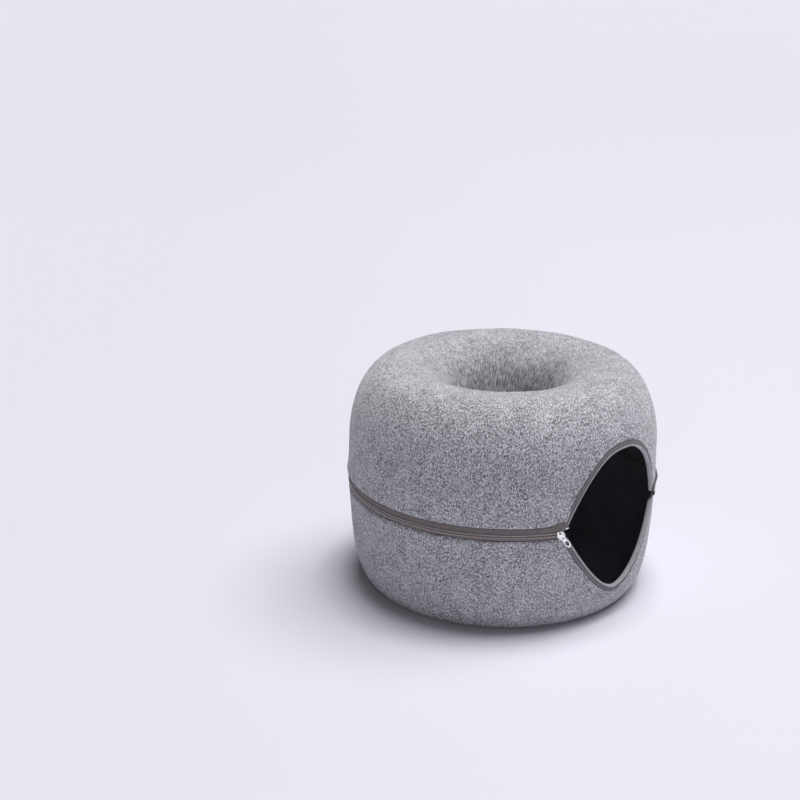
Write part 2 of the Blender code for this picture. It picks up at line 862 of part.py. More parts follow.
def zip_set(prefix, at_hole, start, end):
    """All pieces of one zip that runs from azimuth start (box) to azimuth end (closed)."""
    radius = hole_radius if at_hole else outer_zip_radius
    outward = -1.0 if at_hole else 1.0
    upper_side = ZipSide(upper_line, at_hole)
    lower_side = ZipSide(lower_line, at_hole)
    half_slider = 0.5 * slider_length
    rest = end - (half_slider + slider_inset) / radius
    far = start + (box_length + end_gap + half_slider) / radius
    chain_start = far + (half_slider + end_gap) / radius
    chain_end = rest - (half_slider + end_gap) / radius
    tape_end = end + tape_overrun / radius
    curl_start = end
    curl_end = end + tape_curl_share * tape_overrun / radius
    tape_azimuths = arc_columns(start, end)
    flare = 0.0 if at_hole else tape_flare
    curl = inner_tape_curl if at_hole else tape_curl
    flare_start = tape_azimuths[-2]
    flat_azimuths = tape_azimuths + [curl_end, tape_end]
    lower_end = end + lower_tape_overrun / radius
    short_end = lower_end if at_hole else end + end_gap / radius
    flat_start = lower_end if at_hole else short_end + end_gap / radius
    tucked_azimuths = tape_azimuths + sorted({short_end, flat_start, lower_end})
    full_until = lower_end if at_hole else 0.5 * (end + short_end)
    short_until = lower_end if at_hole else 0.5 * (short_end + flat_start)
    strip(prefix + "_zip_upper_tape", upper_side, flat_azimuths,
          flat_tape_profile(flare, flare_start, curl, curl_start, curl_end), tape_colour)
    strip(prefix + "_zip_lower_tape", lower_side, tucked_azimuths,
          tucked_tape_profile(full_until, short_until), tape_colour)
    coil_azimuths = arc_columns(chain_start, chain_end)
    strip(prefix + "_zip_upper_coil", upper_side, coil_azimuths, coil_profile, coil_colour, 0.6)
    strip(prefix + "_zip_lower_coil", lower_side, coil_azimuths, coil_profile, coil_colour, 0.6)
    box_place = Place(start + 0.5 * box_length / radius, radius, outward)
    pin(prefix + "_zip_pin", box_place, box_colour)
    box(prefix + "_zip_box", box_place, box_colour)
    stop_at = tape_end - (0.5 * stop_length + run_gap) / radius
    stop(prefix + "_zip_upper_stop", Place(stop_at, radius, outward), 1.0, curl, stop_colour)
    lower_at = lower_end - (0.5 * stop_length + end_gap) / radius
    stop(prefix + "_zip_lower_stop", Place(lower_at, radius, outward), -1.0, 0.0, stop_colour)
    slider_place = Place(rest, radius, outward)
    body = slider(prefix + "_zip_slider", slider_place, metal_colour)
    set_origin(body, Matrix.Translation((0.0, 0.0, zip_height)))
    tab, local = pull(prefix + "_zip_pull", slider_place, metal_colour)
    set_origin(tab, local)
    return {"rest": rest, "far": far, "pivot": local}


def build():
    clear_scene()
    lining_depth = -felt_thickness - layer_gap
    shell("upper_shell", upper_line, upper_setback, upper_setback, 0.0, felt_thickness, felt_colour)
    shell("lower_shell", lower_line, lower_setback, lower_setback, 0.0, felt_thickness, felt_colour)
    shell("upper_lining", upper_line, upper_setback, upper_setback,
          lining_depth, lining_thickness, lining_colour)
    shell("lower_lining", lower_line, lower_setback, lining_setback,
          lining_depth, lining_thickness, lining_colour)
    above_tape = tape_reach + binding_gap
    binding("upper_door_binding", upper_line, upper_setback, above_tape + tape_flare, above_tape,
            0.0, binding_colour)
    below_zip = lower_setback + binding_gap
    binding("lower_door_binding", lower_line, lower_setback, below_zip, below_zip,
            tape_thickness, binding_colour)
    start = door_half_angle + layer_gap / outer_zip_radius
    outer = zip_set("outer", False, start, full_turn - door_half_angle)
    seam = 0.5 * inner_tape_gap / hole_radius
    run_out = (tape_overrun + end_gap) / hole_radius
    inner = zip_set("inner", True, -half_turn + seam, half_turn - seam - run_out)
    return outer, inner


found = build()
for label, values in zip(("outer", "inner"), found):
    pivot = values["pivot"]
    print(label, "slider rest", math.degrees(values["rest"]), "far", math.degrees(values["far"]),
          "pivot", tuple(pivot.translation), "axis", tuple(pivot.col[1].xyz))
print("triangles", sum(len(o.data.loop_triangles) or sum(len(p.vertices) - 2 for p in o.data.polygons)
                       for o in bpy.data.objects if o.type == "MESH"))
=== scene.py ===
"""Felt ring tunnel for a cat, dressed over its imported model: two felt half shells with linings,
a bound doorway, two coil zips with sliders and pulls, and a pale studio."""
import bisect
import json
import math

import bmesh
import bpy
from mathutils import Matrix, Vector, noise


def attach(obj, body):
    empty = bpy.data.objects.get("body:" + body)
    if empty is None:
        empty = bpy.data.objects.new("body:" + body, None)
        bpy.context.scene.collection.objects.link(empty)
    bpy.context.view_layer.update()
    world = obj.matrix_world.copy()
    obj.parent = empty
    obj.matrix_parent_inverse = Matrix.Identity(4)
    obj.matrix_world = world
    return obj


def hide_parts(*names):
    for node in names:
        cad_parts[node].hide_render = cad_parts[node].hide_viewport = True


bl_info = {
    "name": "Donut Cat Tunnel",
    "version": (1, 0, 0),
    "blender": (4, 5, 0),
    "location": "View3D > Sidebar > Cat Tunnel",
    "description": "Builds a felt ring tunnel for a cat, with its zips and a pale studio",
    "category": "Add Mesh",
}

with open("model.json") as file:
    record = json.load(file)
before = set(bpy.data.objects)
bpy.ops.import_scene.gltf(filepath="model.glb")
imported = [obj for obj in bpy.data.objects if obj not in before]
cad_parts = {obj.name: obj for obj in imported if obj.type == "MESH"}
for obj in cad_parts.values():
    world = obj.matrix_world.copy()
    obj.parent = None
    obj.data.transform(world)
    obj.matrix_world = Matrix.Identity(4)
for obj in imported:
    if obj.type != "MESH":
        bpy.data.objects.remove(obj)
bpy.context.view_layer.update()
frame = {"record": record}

full_turn = 2.0 * math.pi
half_turn = math.pi
quarter_turn = 0.5 * math.pi
mm = 0.001


def joint_place(name):
    """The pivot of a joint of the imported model, as the record gives it."""
    for joint in frame["record"]["behaviour"]["joints"]:
        if joint["name"] == name:
            return joint["pos_m"]
    raise ValueError("no joint named " + name)


def length_setting(name, description, default):
    return bpy.props.FloatProperty(name=name, description=description, default=default,
                                   unit="LENGTH", precision=5)


def share_setting(name, description, default, high):
    return bpy.props.FloatProperty(name=name, description=description, default=default, min=0.0, max=high)


def colour_setting(name, description, default):
    return bpy.props.FloatVectorProperty(name=name, description=description, default=default,
                                         subtype="COLOR", size=3, min=0.0, max=1.0)


class RingSizes(bpy.types.PropertyGroup):
    """Cross-section of the ring and of its doorway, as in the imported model."""
    outer_radius: length_setting("Outer radius", "Ring's axis to its outermost line", 0.250)
    hole_radius: length_setting("Hole radius", "Ring's axis to the waist of the hole", 0.0739)
    crown_radius: length_setting("Crown radius", "Ring's axis to the highest line", 0.1746)
    widest_height: length_setting("Widest height", "Height of the outermost line", 0.2350)
    crown_height: length_setting("Crown height", "Height of the highest line", 0.3664)
    zip_height: length_setting("Zip height", "Height of both zips", joint_place("outer_slider_run")[2])
    foot_cut: length_setting("Foot cut", "How far the underside is flattened", 0.0118)
    foot_blend: length_setting("Foot blend", "Rounding where the flat underside starts", 0.0080)
    upper_outer_power: share_setting("Upper outer fullness", "Fullness of the upper outer wall", 2.19, 9.0)
    lower_outer_power: share_setting("Lower outer fullness", "Fullness of the lower outer wall", 3.65, 9.0)
    upper_hole_power: share_setting("Upper hole fullness", "Fullness of the hole above its waist", 2.85, 9.0)
    lower_hole_power: share_setting("Lower hole fullness", "Fullness of the hole below its waist", 2.60, 9.0)
    door_half_width: length_setting("Doorway half width", "Along the zip, middle to corner", 0.1145)
    door_rise: length_setting("Doorway rise", "Along the cloth, zip to the top of the doorway", 0.1153)
    door_drop: length_setting("Doorway drop", "Along the cloth, zip to the bottom of the doorway", 0.1192)
    door_rise_power: share_setting("Upper doorway fullness", "Fullness of the doorway above the zip",
                                   2.4, 9.0)
    door_drop_power: share_setting("Lower doorway fullness", "Fullness of the doorway below the zip",
                                   1.7, 9.0)


class ClothSizes(bpy.types.PropertyGroup):
    """Cloth layers, the door binding and what the hand of the maker leaves in them."""
    felt_thickness: length_setting("Felt", "Thickness of the felt", 0.0028)
    lining_thickness: length_setting("Lining", "Thickness of the lining", 0.0006)
    layer_gap: length_setting("Layer gap", "Air between felt and lining", 0.0003)
    upper_setback: length_setting("Upper setback", "Zip line to the edge of the upper felt", 0.0055)
    lower_setback: length_setting("Lower setback", "Zip line to the edge of the lower felt", 0.0087)
    lining_setback: length_setting("Lining setback", "Zip line to the edge of the lower lining", 0.0175)
    swell: length_setting("Swell over the tape", "How far the felt swells past the upper tape", 0.0016)
    far_swell: length_setting("Extra swell", "Extra swell far from the doorway", 0.0032)
    door_ridge: length_setting("Ridge at the doorway", "How far the felt rises past the door binding", 0.0008)
    door_dip: length_setting("Dip at the doorway", "How far the felt dips under the door binding", 0.0003)
    ripple: length_setting("Ripple", "Unevenness of the pressed felt", 0.0009)
    binding_reach: length_setting("Binding reach", "Width of the door binding on the felt", 0.0085)
    binding_gap: length_setting("Binding gap", "Air between the binding and the cloth", 0.0006)
    binding_thickness: length_setting("Binding thickness", "Thickness of the folded strip", 0.0006)
    binding_stitch: length_setting("Binding stitch", "Length of one stitch in the binding", 0.0034)


class ZipSizes(bpy.types.PropertyGroup):
    """The coil zips, as distances from the chain's middle along the cloth and heights above it."""
    tape_edge: length_setting("Tape edge", "Middle of the chain to the tape's edge", 0.00015)
    tape_thickness: length_setting("Tape thickness", "Thickness of the woven tape", 0.0008)
    tape_gap: length_setting("Tape gap", "Air between tape and felt", 0.0003)
    tape_reach: length_setting("Tape reach", "Width of the upper tape", 0.0120)
    tape_tuck: length_setting("Tape tuck", "How far the lower tape runs behind the felt", 0.0160)
    tape_overrun: length_setting("Tape overrun", "Free end of the upper tape outside", 0.0082)
    inner_tape_overrun: length_setting("Inner tape overrun", "Free end of the upper tape in the hole", 0.0055)
    lower_tape_overrun: length_setting("Lower tape overrun", "Free end of the lower tapes", 0.0030)
    tape_curl: length_setting("Tape curl", "How far the free end turns away outside", 0.0088)
    inner_tape_curl: length_setting("Inner tape curl", "How far the free end turns away in the hole", 0.0025)
    tape_flare: length_setting("Tape flare", "How much wider the upper tape is at the doorway", 0.0084)
    tape_lift: length_setting("Tape lift", "How far the upper tape stands off beside the doorway", 0.0042)
    inner_tape_gap: length_setting("Inner tape gap", "Gap between the ends of the tape in the hole", 0.0030)
    coil_pitch: length_setting("Tooth pitch", "Distance between the teeth of one coil", 0.0042)
    coil_wire: length_setting("Coil wire", "Radius of the coil's wire", 0.00040)
    chain_half_height: length_setting("Chain half height", "Middle of the chain to the back of the teeth",
                                      0.0031)
    thread_radius: length_setting("Thread radius", "Radius of the sewing thread", 0.00024)
    slider_length: length_setting("Slider length", "Length of the slider", 0.0100)
    slider_inset: length_setting("Slider inset", "End of the zip to the closed slider's front", 0.0025)
    slider_rear: length_setting("Slider rear width", "Width over the closed chain", 0.0084)
    slider_front: length_setting("Slider front width", "Width at the shoulders", 0.0104)
    box_length: length_setting("Box length", "Length of the box and of the pin", 0.0070)
    end_gap: length_setting("End gap", "Air between neighbouring end pieces", 0.0008)
    pull_length: length_setting("Pull length", "Pivot to the tip of the pull", 0.0272)
    pull_hang: bpy.props.FloatProperty(name="Pull hang", description="How the pull hangs at rest",
                                       default=math.radians(53.5), subtype="ANGLE")


class Colours(bpy.types.PropertyGroup):
    """Colours of the cloths, the trim and the studio."""
    felt_dark: colour_setting("Felt dark fibre", "Darkest fibre of the melange", (0.115, 0.113, 0.130))
    felt_middle: colour_setting("Felt ground", "Middle tone of the melange", (0.385, 0.380, 0.420))
    felt_light: colour_setting("Felt light fibre", "Lightest fibre of the melange", (0.800, 0.795, 0.840))
    lining: colour_setting("Lining", "Dark lining cloth", (0.185, 0.194, 0.226))
    # The binding's colour is the level of its painted highlight on the lip; painted shade darkens the rest of
    # the strip.
    binding: colour_setting("Binding", "Woven strip round the doorway", (0.500, 0.487, 0.522))
    tape: colour_setting("Tape", "Woven zip tape", (0.205, 0.178, 0.184))
    coil: colour_setting("Coil", "Nylon teeth", (0.178, 0.156, 0.160))
    thread: colour_setting("Thread", "Sewing thread on the teeth", (0.950, 0.880, 0.860))
    metal: colour_setting("Metal", "Plated slider, pull and stops", (0.970, 0.955, 0.945))
    box: colour_setting("Box", "Moulded box and pin", (0.028, 0.027, 0.031))
    floor: colour_setting("Floor", "Studio floor, on the right", (0.724, 0.716, 0.794))
    # The left floor colours, here and far behind, are darker by painted shade, as the light comes from the
    # right.
    floor_left: colour_setting("Floor left", "Studio floor, on the left", (0.677, 0.677, 0.752))
    far_floor: colour_setting("Far floor", "Studio floor far behind, on the right", (0.689, 0.669, 0.745))
    far_floor_left: colour_setting("Far floor left", "Studio floor far behind, on the left",
                                   (0.669, 0.657, 0.731))
    wall: colour_setting("Wall", "What shows behind the floor", (0.770, 0.755, 0.840))


class Lamps(bpy.types.PropertyGroup):
    """Levels of the studio's lamps."""
    key: share_setting("Key", "Large lamp from the right and behind", 1.48, 20.0)
    top: share_setting("Top", "Large lamp overhead", 2.10, 20.0)
    fill: share_setting("Fill", "Weak broad lamp beside the camera", 0.35, 20.0)
    around: share_setting("Around", "Even light from every side", 0.03, 20.0)


setting_groups = (("tunnel_ring", RingSizes), ("tunnel_cloth", ClothSizes), ("tunnel_zip", ZipSizes),
                  ("tunnel_colours", Colours), ("tunnel_lamps", Lamps))


class Sum:
    """A shader socket that Python's own operators turn into Math nodes."""

    def __init__(self, finish, socket):
        self.finish = finish
        self.socket = socket

    def step(self, operation, first, second=0.0):
        return self.finish.number("ShaderNodeMath", {"operation": operation}, {0: first, 1: second})

    def __add__(self, other):
        return self.step("ADD", self, other)

    def __radd__(self, other):
        return self.step("ADD", other, self)

    def __sub__(self, other):
        return self.step("SUBTRACT", self, other)

    def __rsub__(self, other):
        return self.step("SUBTRACT", other, self)

    def __mul__(self, other):
        return self.step("MULTIPLY", self, other)

    def __rmul__(self, other):
        return self.step("MULTIPLY", other, self)

    def wave(self):
        return self.step("SINE", self)

    def between(self, low, high):
        """0 below low, 1 above high, smooth in between."""
        return self.finish.number("ShaderNodeMapRange", {"interpolation_type": "SMOOTHSTEP"},
                                  {"Value": self, "From Min": low, "From Max": high})


class Finish:
    """One procedural material with a Principled shader."""

    def __init__(self, name, constants):
        self.material = bpy.data.materials.new(name)
        self.material.use_nodes = True
        self.tree = self.material.node_tree
        self.shader = self.tree.nodes["Principled BSDF"]
        for key, value in constants.items():
            self.shader.inputs[key].default_value = value

    def node(self, kind, settings, sockets):
        made = self.tree.nodes.new(kind)
        for key, value in settings.items():
            if key == "stops":
                self.set_stops(made.color_ramp, value)
            else:
                setattr(made, key, value)
        for key, value in sockets.items():
            self.feed(made.inputs[key], value)
        return made

    def set_stops(self, ramp, stops):
        while len(ramp.elements) < len(stops):
            ramp.elements.new(1.0)
        for element, (position, colour) in zip(ramp.elements, stops):
            element.position = position
            element.color = (*colour, 1.0)

    def feed(self, socket, value):
        if isinstance(value, Sum):
            value = value.socket
        if isinstance(value, bpy.types.NodeSocket):
            self.tree.links.new(value, socket)
        elif hasattr(value, "__len__") and len(socket.default_value) == 4 and len(value) == 3:
            socket.default_value = (*value, 1.0)
        else:
            socket.default_value = value

    def number(self, kind, settings, sockets):
        return Sum(self, self.node(kind, settings, sockets).outputs[0])

    def along_cloth(self):
        """Lengths round the ring and across the cloth, in metres."""
        cloth = self.node("ShaderNodeUVMap", {"uv_map": "cloth"}, {}).outputs["UV"]
        parts = self.node("ShaderNodeSeparateXYZ", {}, {"Vector": cloth}).outputs
        return Sum(self, parts["X"]), Sum(self, parts["Y"])

    def in_space(self):
        return self.node("ShaderNodeTexCoord", {}, {}).outputs["Object"]

    def speckle(self, place, size, detail=2.0, roughness=0.5, distortion=0.0):
        return self.number("ShaderNodeTexNoise", {"noise_dimensions": "3D"},
                           {"Vector": place, "Scale": 1.0 / size, "Detail": detail, "Roughness": roughness,
                            "Distortion": distortion})

    def strokes(self, u, v, slant, length, width, layer):
        """Noise drawn out into strokes at a slant from the u direction."""
        along = u * (math.cos(slant) / length) + v * (math.sin(slant) / length)
        across = v * (math.cos(slant) / width) - u * (math.sin(slant) / width)
        place = self.node("ShaderNodeCombineXYZ", {}, {"X": along, "Y": across, "Z": layer}).outputs[0]
        return self.speckle(place, 1.0, 2.6, 0.62, 0.7)

    def mix(self, factor, first, second):
        made = self.node("ShaderNodeMix", {"data_type": "RGBA"}, {0: factor})
        self.feed(made.inputs[6], first)
        self.feed(made.inputs[7], second)
        return made.outputs[2]

    def bump(self, height, distance, strength=1.0):
        made = self.node("ShaderNodeBump", {}, {"Strength": strength, "Distance": distance, "Height": height})
        self.feed(self.shader.inputs["Normal"], made.outputs[0])

    def colour(self, value):
        self.feed(self.shader.inputs["Base Color"], value)

    def roughness(self, value):
        self.feed(self.shader.inputs["Roughness"], value)


def tint(colour, share):
    """A colour with each channel at a share of its level."""
    return tuple(channel * share for channel in colour)


def melange_felt(name, look):
    """Two greys of fibre pressed together, drawn out along the wall inside the hole."""
    felt = Finish(name, {"Roughness": 0.93, "Sheen Weight": 0.25, "Sheen Roughness": 0.5,
                         "Specular IOR Level": 0.15})
    u, v = felt.along_cloth()
    hole = v.between(0.25, 0.37)
    outside = (felt.strokes(u, v, 1.15, 0.0036, 0.0013, 1.0) * 0.5
               + felt.strokes(u, v, -0.95, 0.0032, 0.0012, 5.0) * 0.5)
    drawn = (felt.strokes(u * 0.45, v, 1.48, 0.0120, 0.0011, 9.0) * 0.65
             + felt.strokes(u * 0.45, v, -1.35, 0.0080, 0.0011, 13.0) * 0.35)
    fibres = outside * (1.0 - hole) + (drawn * 0.7 + 0.15) * hole
    place = felt.in_space()
    clumps = felt.speckle(place, 0.0090, 3.0, 0.6, 0.3)
    clouds = felt.speckle(place, 0.040, 2.0, 0.5)
    hair = felt.speckle(place, 0.0009, 2.0, 0.6, 0.8)
    tone = ((fibres - 0.5) * 10.6 + (clumps - 0.5) * (1.1 - hole * 0.6) + (clouds - 0.5) * 0.5
            + (hair - 0.5) * 0.8 + 0.5)
    stops = ((0.0, look.felt_dark), (0.50, look.felt_middle), (1.0, look.felt_light))
    felt.colour(felt.node("ShaderNodeValToRGB", {"stops": stops}, {"Fac": tone}).outputs["Color"])
    felt.bump(fibres * 0.6 + hair * 0.4, 0.0008, 0.7)
    return felt.material


def dark_lining(name, colour):
    """Thin dark cloth with a faint pressed grain."""
    lining = Finish(name, {"Roughness": 0.9, "Specular IOR Level": 0.1})
    place = lining.in_space()
    grain = lining.speckle(place, 0.0011, 2.0, 0.6)
    folds = lining.speckle(place, 0.030, 2.0, 0.5)
    wear = (grain * 0.6 + folds * 0.4).between(0.35, 0.75)
    lining.colour(lining.mix(wear, colour, tint(colour, 1.4)))
    lining.bump(grain, 0.0004, 0.5)
    return lining.material


def binding_painted_light_and_shade(v):
    """Painted highlight on the lip of the door binding, and painted shade in its groove and along its outer
    edge.
    """
    lip = 1.0 - v.between(0.3 * mm, 1.2 * mm)
    groove = v.between(2.5 * mm, 3.1 * mm) * (1.0 - v.between(4.2 * mm, 4.9 * mm))
    edge = v.between(6.3 * mm, 7.1 * mm)
    return lip * 0.46 - groove * 0.30 - edge * 0.33 + 0.54


def woven(name, colour, pitch, darker, lighter, shade=None):
    """Narrow woven strip: ribs along it, and a finer weft across."""
    strip = Finish(name, {"Roughness": 0.82, "Sheen Weight": 0.10, "Sheen Roughness": 0.5,
                          "Specular IOR Level": 0.2})
    u, v = strip.along_cloth()
    warp = (v * (full_turn / pitch)).wave() * 0.5 + 0.5
    weft = (u * (full_turn / pitch) + v * (half_turn / pitch)).wave() * 0.5 + 0.5
    place = strip.in_space()
    wear = strip.speckle(place, 0.012, 3.0, 0.6)
    fluff = strip.speckle(place, 0.0012, 2.0, 0.6)
    weave = warp * 0.45 + weft * 0.55
    tone = weave * 0.35 + wear * 0.45 + fluff * 0.3
    cloth = strip.mix(tone.between(0.25, 0.85), tint(colour, darker), tint(colour, lighter))
    # The optional shade multiplies the colour: painted light and shade across the strip.
    strip.colour(strip.mix(shade(v), (0.0, 0.0, 0.0), cloth) if shade else cloth)
    strip.bump(weave * 0.7 + fluff * 0.3, 0.00025, 0.8)
    return strip.material


def coil_nylon(name, colour):
    """Dull nylon wire, a little paler where it rubs."""
    coil = Finish(name, {"Roughness": 0.45, "Specular IOR Level": 0.45})
    wear = coil.speckle(coil.in_space(), 0.006, 3.0, 0.6)
    coil.colour(coil.mix(wear.between(0.3, 0.7), tint(colour, 0.72), tint(colour, 1.28)))
    coil.roughness(wear * 0.3 + 0.32)
    return coil.material


def sewing_thread(name, colour):
    """Twisted thread."""
    thread = Finish(name, {"Roughness": 0.7, "Sheen Weight": 0.15, "Sheen Roughness": 0.5})
    u, v = thread.along_cloth()
    twist = (u * (full_turn / 0.0009) + v * full_turn).wave() * 0.5 + 0.5
    thread.colour(thread.mix(twist, tint(colour, 0.70), colour))
    thread.bump(twist, 0.00008, 0.8)
    return thread.material


def plated_metal(name, colour):
    """Plating on a tumbled casting, duller in faint scuffs."""
    metal = Finish(name, {"Metallic": 1.0, "Roughness": 0.25})
    place = metal.in_space()
    scuffs = metal.speckle(place, 0.0022, 4.0, 0.65, 0.6)
    metal.colour(metal.mix(scuffs.between(0.35, 0.65), tint(colour, 0.90), colour))
    metal.roughness(scuffs * 0.25 + 0.14)
    metal.bump(metal.speckle(place, 0.0012, 3.0, 0.6), 0.00006, 0.5)
    return metal.material


def moulded_plastic(name, colour):
    """Dark moulded resin with a fine grain."""
    plastic = Finish(name, {"Roughness": 0.4, "Specular IOR Level": 0.5})
    grain = plastic.speckle(plastic.in_space(), 0.0006, 3.0, 0.6)
    plastic.colour(plastic.mix(grain.between(0.35, 0.75), colour, tint(colour, 1.8)))
    plastic.roughness(grain * 0.3 + 0.28)
    plastic.bump(grain, 0.00008, 0.5)
    return plastic.material


def smooth_max(first, second, blend):
    """Larger of two values, rounded over the blend width."""
    overlap = max(blend - abs(first - second), 0.0) / blend
    return max(first, second) + overlap * overlap * blend * 0.25


def smooth_step(value, low, high):
    share = min(max((value - low) / (high - low), 0.0), 1.0)
    return share * share * (3.0 - 2.0 * share)


class Curve:
    """One line of the cross-section, walked by length and by height above it."""
    samples = 1600

    def __init__(self, points, outward_side):
        self.points = points
        self.outward_side = outward_side
        self.lengths = [0.0]
        for before, after in zip(points, points[1:]):
            self.lengths.append(self.lengths[-1] + math.hypot(after[0] - before[0], after[1] - before[1]))
        self.total = self.lengths[-1]

    def place(self, length):
        length = min(max(length, 0.0), self.total)
        index = min(bisect.bisect_right(self.lengths, length) - 1, len(self.points) - 2)
        share = (length - self.lengths[index]) / (self.lengths[index + 1] - self.lengths[index])
        before = self.points[index]
        after = self.points[index + 1]
        return before[0] + (after[0] - before[0]) * share, before[1] + (after[1] - before[1]) * share

    def at(self, length, depth):
        reach = self.total / self.samples * 3.0
        low = self.place(length - reach)
        high = self.place(length + reach)
        here = self.place(length)
        run = math.hypot(high[0] - low[0], high[1] - low[1])
        normal_r = self.outward_side * (high[1] - low[1]) / run
        normal_z = -self.outward_side * (high[0] - low[0]) / run
        return here[0] + depth * normal_r, here[1] + depth * normal_z


def ring_point(azimuth, radius, height):
    """Azimuth 0 faces -Y, and grows towards +X."""
    return Vector((radius * math.sin(azimuth), -radius * math.cos(azimuth), height))


class Ring:
    """The ring's two lines of cross-section and its doorway."""

    def __init__(self, sizes):
        self.sizes = sizes
        start = self.zip_angle()
        upper = []
        lower = []
        for step in range(Curve.samples + 1):
            share = step / Curve.samples
            upper.append(self.section_point(start + (half_turn - start) * share))
            lower.append(self.section_point(start - (half_turn + start) * share))
        self.upper = Curve(upper, 1.0)
        self.lower = Curve(lower, -1.0)
        self.zip_radius = self.upper.place(0.0)[0]
        self.door_half_angle = sizes.door_half_width / self.zip_radius

    def section_point(self, angle):
        """0 is the outer side, a quarter turn is the crown."""
        s = self.sizes
        across = math.cos(angle)
        up = math.sin(angle)
        outer = across >= 0.0
        if up >= 0.0:
            power = s.upper_outer_power if outer else s.upper_hole_power
        else:
            power = s.lower_outer_power if outer else s.lower_hole_power
        middle = s.widest_height if outer else s.zip_height
        reach = s.outer_radius - s.crown_radius if outer else s.crown_radius - s.hole_radius
        radius = s.crown_radius + (1.0 if outer else -1.0) * reach * abs(across) ** (2.0 / power)
        if up >= 0.0:
            return radius, middle + (s.crown_height - middle) * abs(up) ** (2.0 / power)
        height = middle - (middle + s.foot_cut) * abs(up) ** (2.0 / power)
        return radius, smooth_max(height, 0.0, s.foot_blend)

    def zip_angle(self):
        low, high = -quarter_turn, 0.0
        for _ in range(60):
            middle = 0.5 * (low + high)
            if self.section_point(middle)[1] < self.sizes.zip_height:
                low = middle
            else:
                high = middle
        return 0.5 * (low + high)

    def line(self, upper):
        return self.upper if upper else self.lower

    def door_height(self, upper):
        return self.sizes.door_rise if upper else self.sizes.door_drop

    def door_power(self, upper):
        return self.sizes.door_rise_power if upper else self.sizes.door_drop_power

    def door_edge(self, azimuth, upper):
        """Length along the cloth from the zip line to the doorway's edge, 0 outside the doorway."""
        turned = (azimuth + half_turn) % full_turn - half_turn
        share = abs(turned) / self.door_half_angle
        if share >= 1.0:
            return 0.0
        return self.door_height(upper) * (1.0 - share ** self.door_power(upper))

    def azimuths(self, inside, outside):
        """Columns round the ring, closest together at the doorway's corners."""
        door = [self.door_half_angle * math.sin(quarter_turn * (2.0 * step / inside - 1.0))
                for step in range(inside)]
        rest = full_turn - 2.0 * self.door_half_angle
        return door + [self.door_half_angle + rest * step / outside for step in range(outside)]

    def on_cloth(self, upper, azimuth, length, depth):
        radius, height = self.line(upper).at(length, depth)
        return ring_point(azimuth, radius, height)


class Shape:
    """Points, faces and cloth lengths of one piece."""

    def __init__(self):
        self.points = []
        self.faces = []
        self.cloth = []

    def loft(self, sections, arounds, acrosses, closed):
        """Sections of equal point count, joined round or capped at both ends. Each section has its
        length round the ring, and each point its length across the cloth."""
        count = len(sections[0])
        base = len(self.points)
        for section in sections:
            self.points.extend(section)
        spans = len(sections) if closed else len(sections) - 1
        for column in range(spans):
            other = (column + 1) % len(sections)
            near, far = arounds[column], arounds[column + 1]
            for row in range(count):
                after = (row + 1) % count
                here = base + column * count
                there = base + other * count
                self.faces.append((here + row, here + after, there + after, there + row))
                self.cloth += [(near, acrosses[column][row]), (near, acrosses[column][after]),
                               (far, acrosses[other][after]), (far, acrosses[other][row])]
        if not closed:
            for column in (0, len(sections) - 1):
                self.faces.append(tuple(base + column * count + row for row in range(count)))
                self.cloth += [(arounds[column], acrosses[column][row]) for row in range(count)]

    def tube(self, path, radius, sides):
        """Round wire along a path of points."""
        turn = full_turn / sides
        heading = (path[1] - path[0]).normalized()
        across = heading.orthogonal().normalized()
        sections = []
        lengths = [0.0]
        for index, point in enumerate(path):
            before = path[max(index - 1, 0)]
            after = path[min(index + 1, len(path) - 1)]
            fresh = (after - before).normalized()
            across = (across - fresh * across.dot(fresh)).normalized()
            other = fresh.cross(across)
            sections.append([point + (across * math.cos(turn * k) + other * math.sin(turn * k)) * radius
                             for k in range(sides)])
            if index:
                lengths.append(lengths[-1] + (point - path[index - 1]).length)
        shares = [[k / sides for k in range(sides)]] * len(path)
        self.loft(sections, lengths, shares, False)

    def build(self, name, body, slot, finish, crisp=60.0, *nodes):
        mesh = bpy.data.meshes.new(name)
        mesh.from_pydata(self.points, [], self.faces)
        layer = mesh.uv_layers.new(name="cloth")
        layer.data.foreach_set("uv", [number for pair in self.cloth for number in pair])
        work = bmesh.new()
        work.from_mesh(mesh)
        bmesh.ops.recalc_face_normals(work, faces=work.faces)
        work.to_mesh(mesh)
        work.free()
        dress(name, mesh, body, finish, crisp, nodes)


def dress(name, mesh, body, finish, crisp, nodes):
    """Makes the piece, gives it its finish and lets it ride on its body."""
    mesh.materials.clear()
    mesh.materials.append(finish)
    mesh.polygons.foreach_set("use_smooth", [True] * len(mesh.polygons))
    mesh.set_sharp_from_angle(angle=math.radians(crisp))
    made = bpy.data.objects.new(name, mesh)
    bpy.context.scene.collection.objects.link(made)
    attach(made, body)
    if nodes:
        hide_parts(*nodes)


def shared_finish(maker, name, *details):
    """The finish of that name, made at its first use."""
    return bpy.data.materials.get(name) or maker(name, *details)


def fading(past, rise, fade):
    """Climbs from 0 to 1 over the rise, and dies away beyond it."""
    return smooth_step(past, 0.0, rise) * math.exp(-max(past - rise, 0.0) / fade)


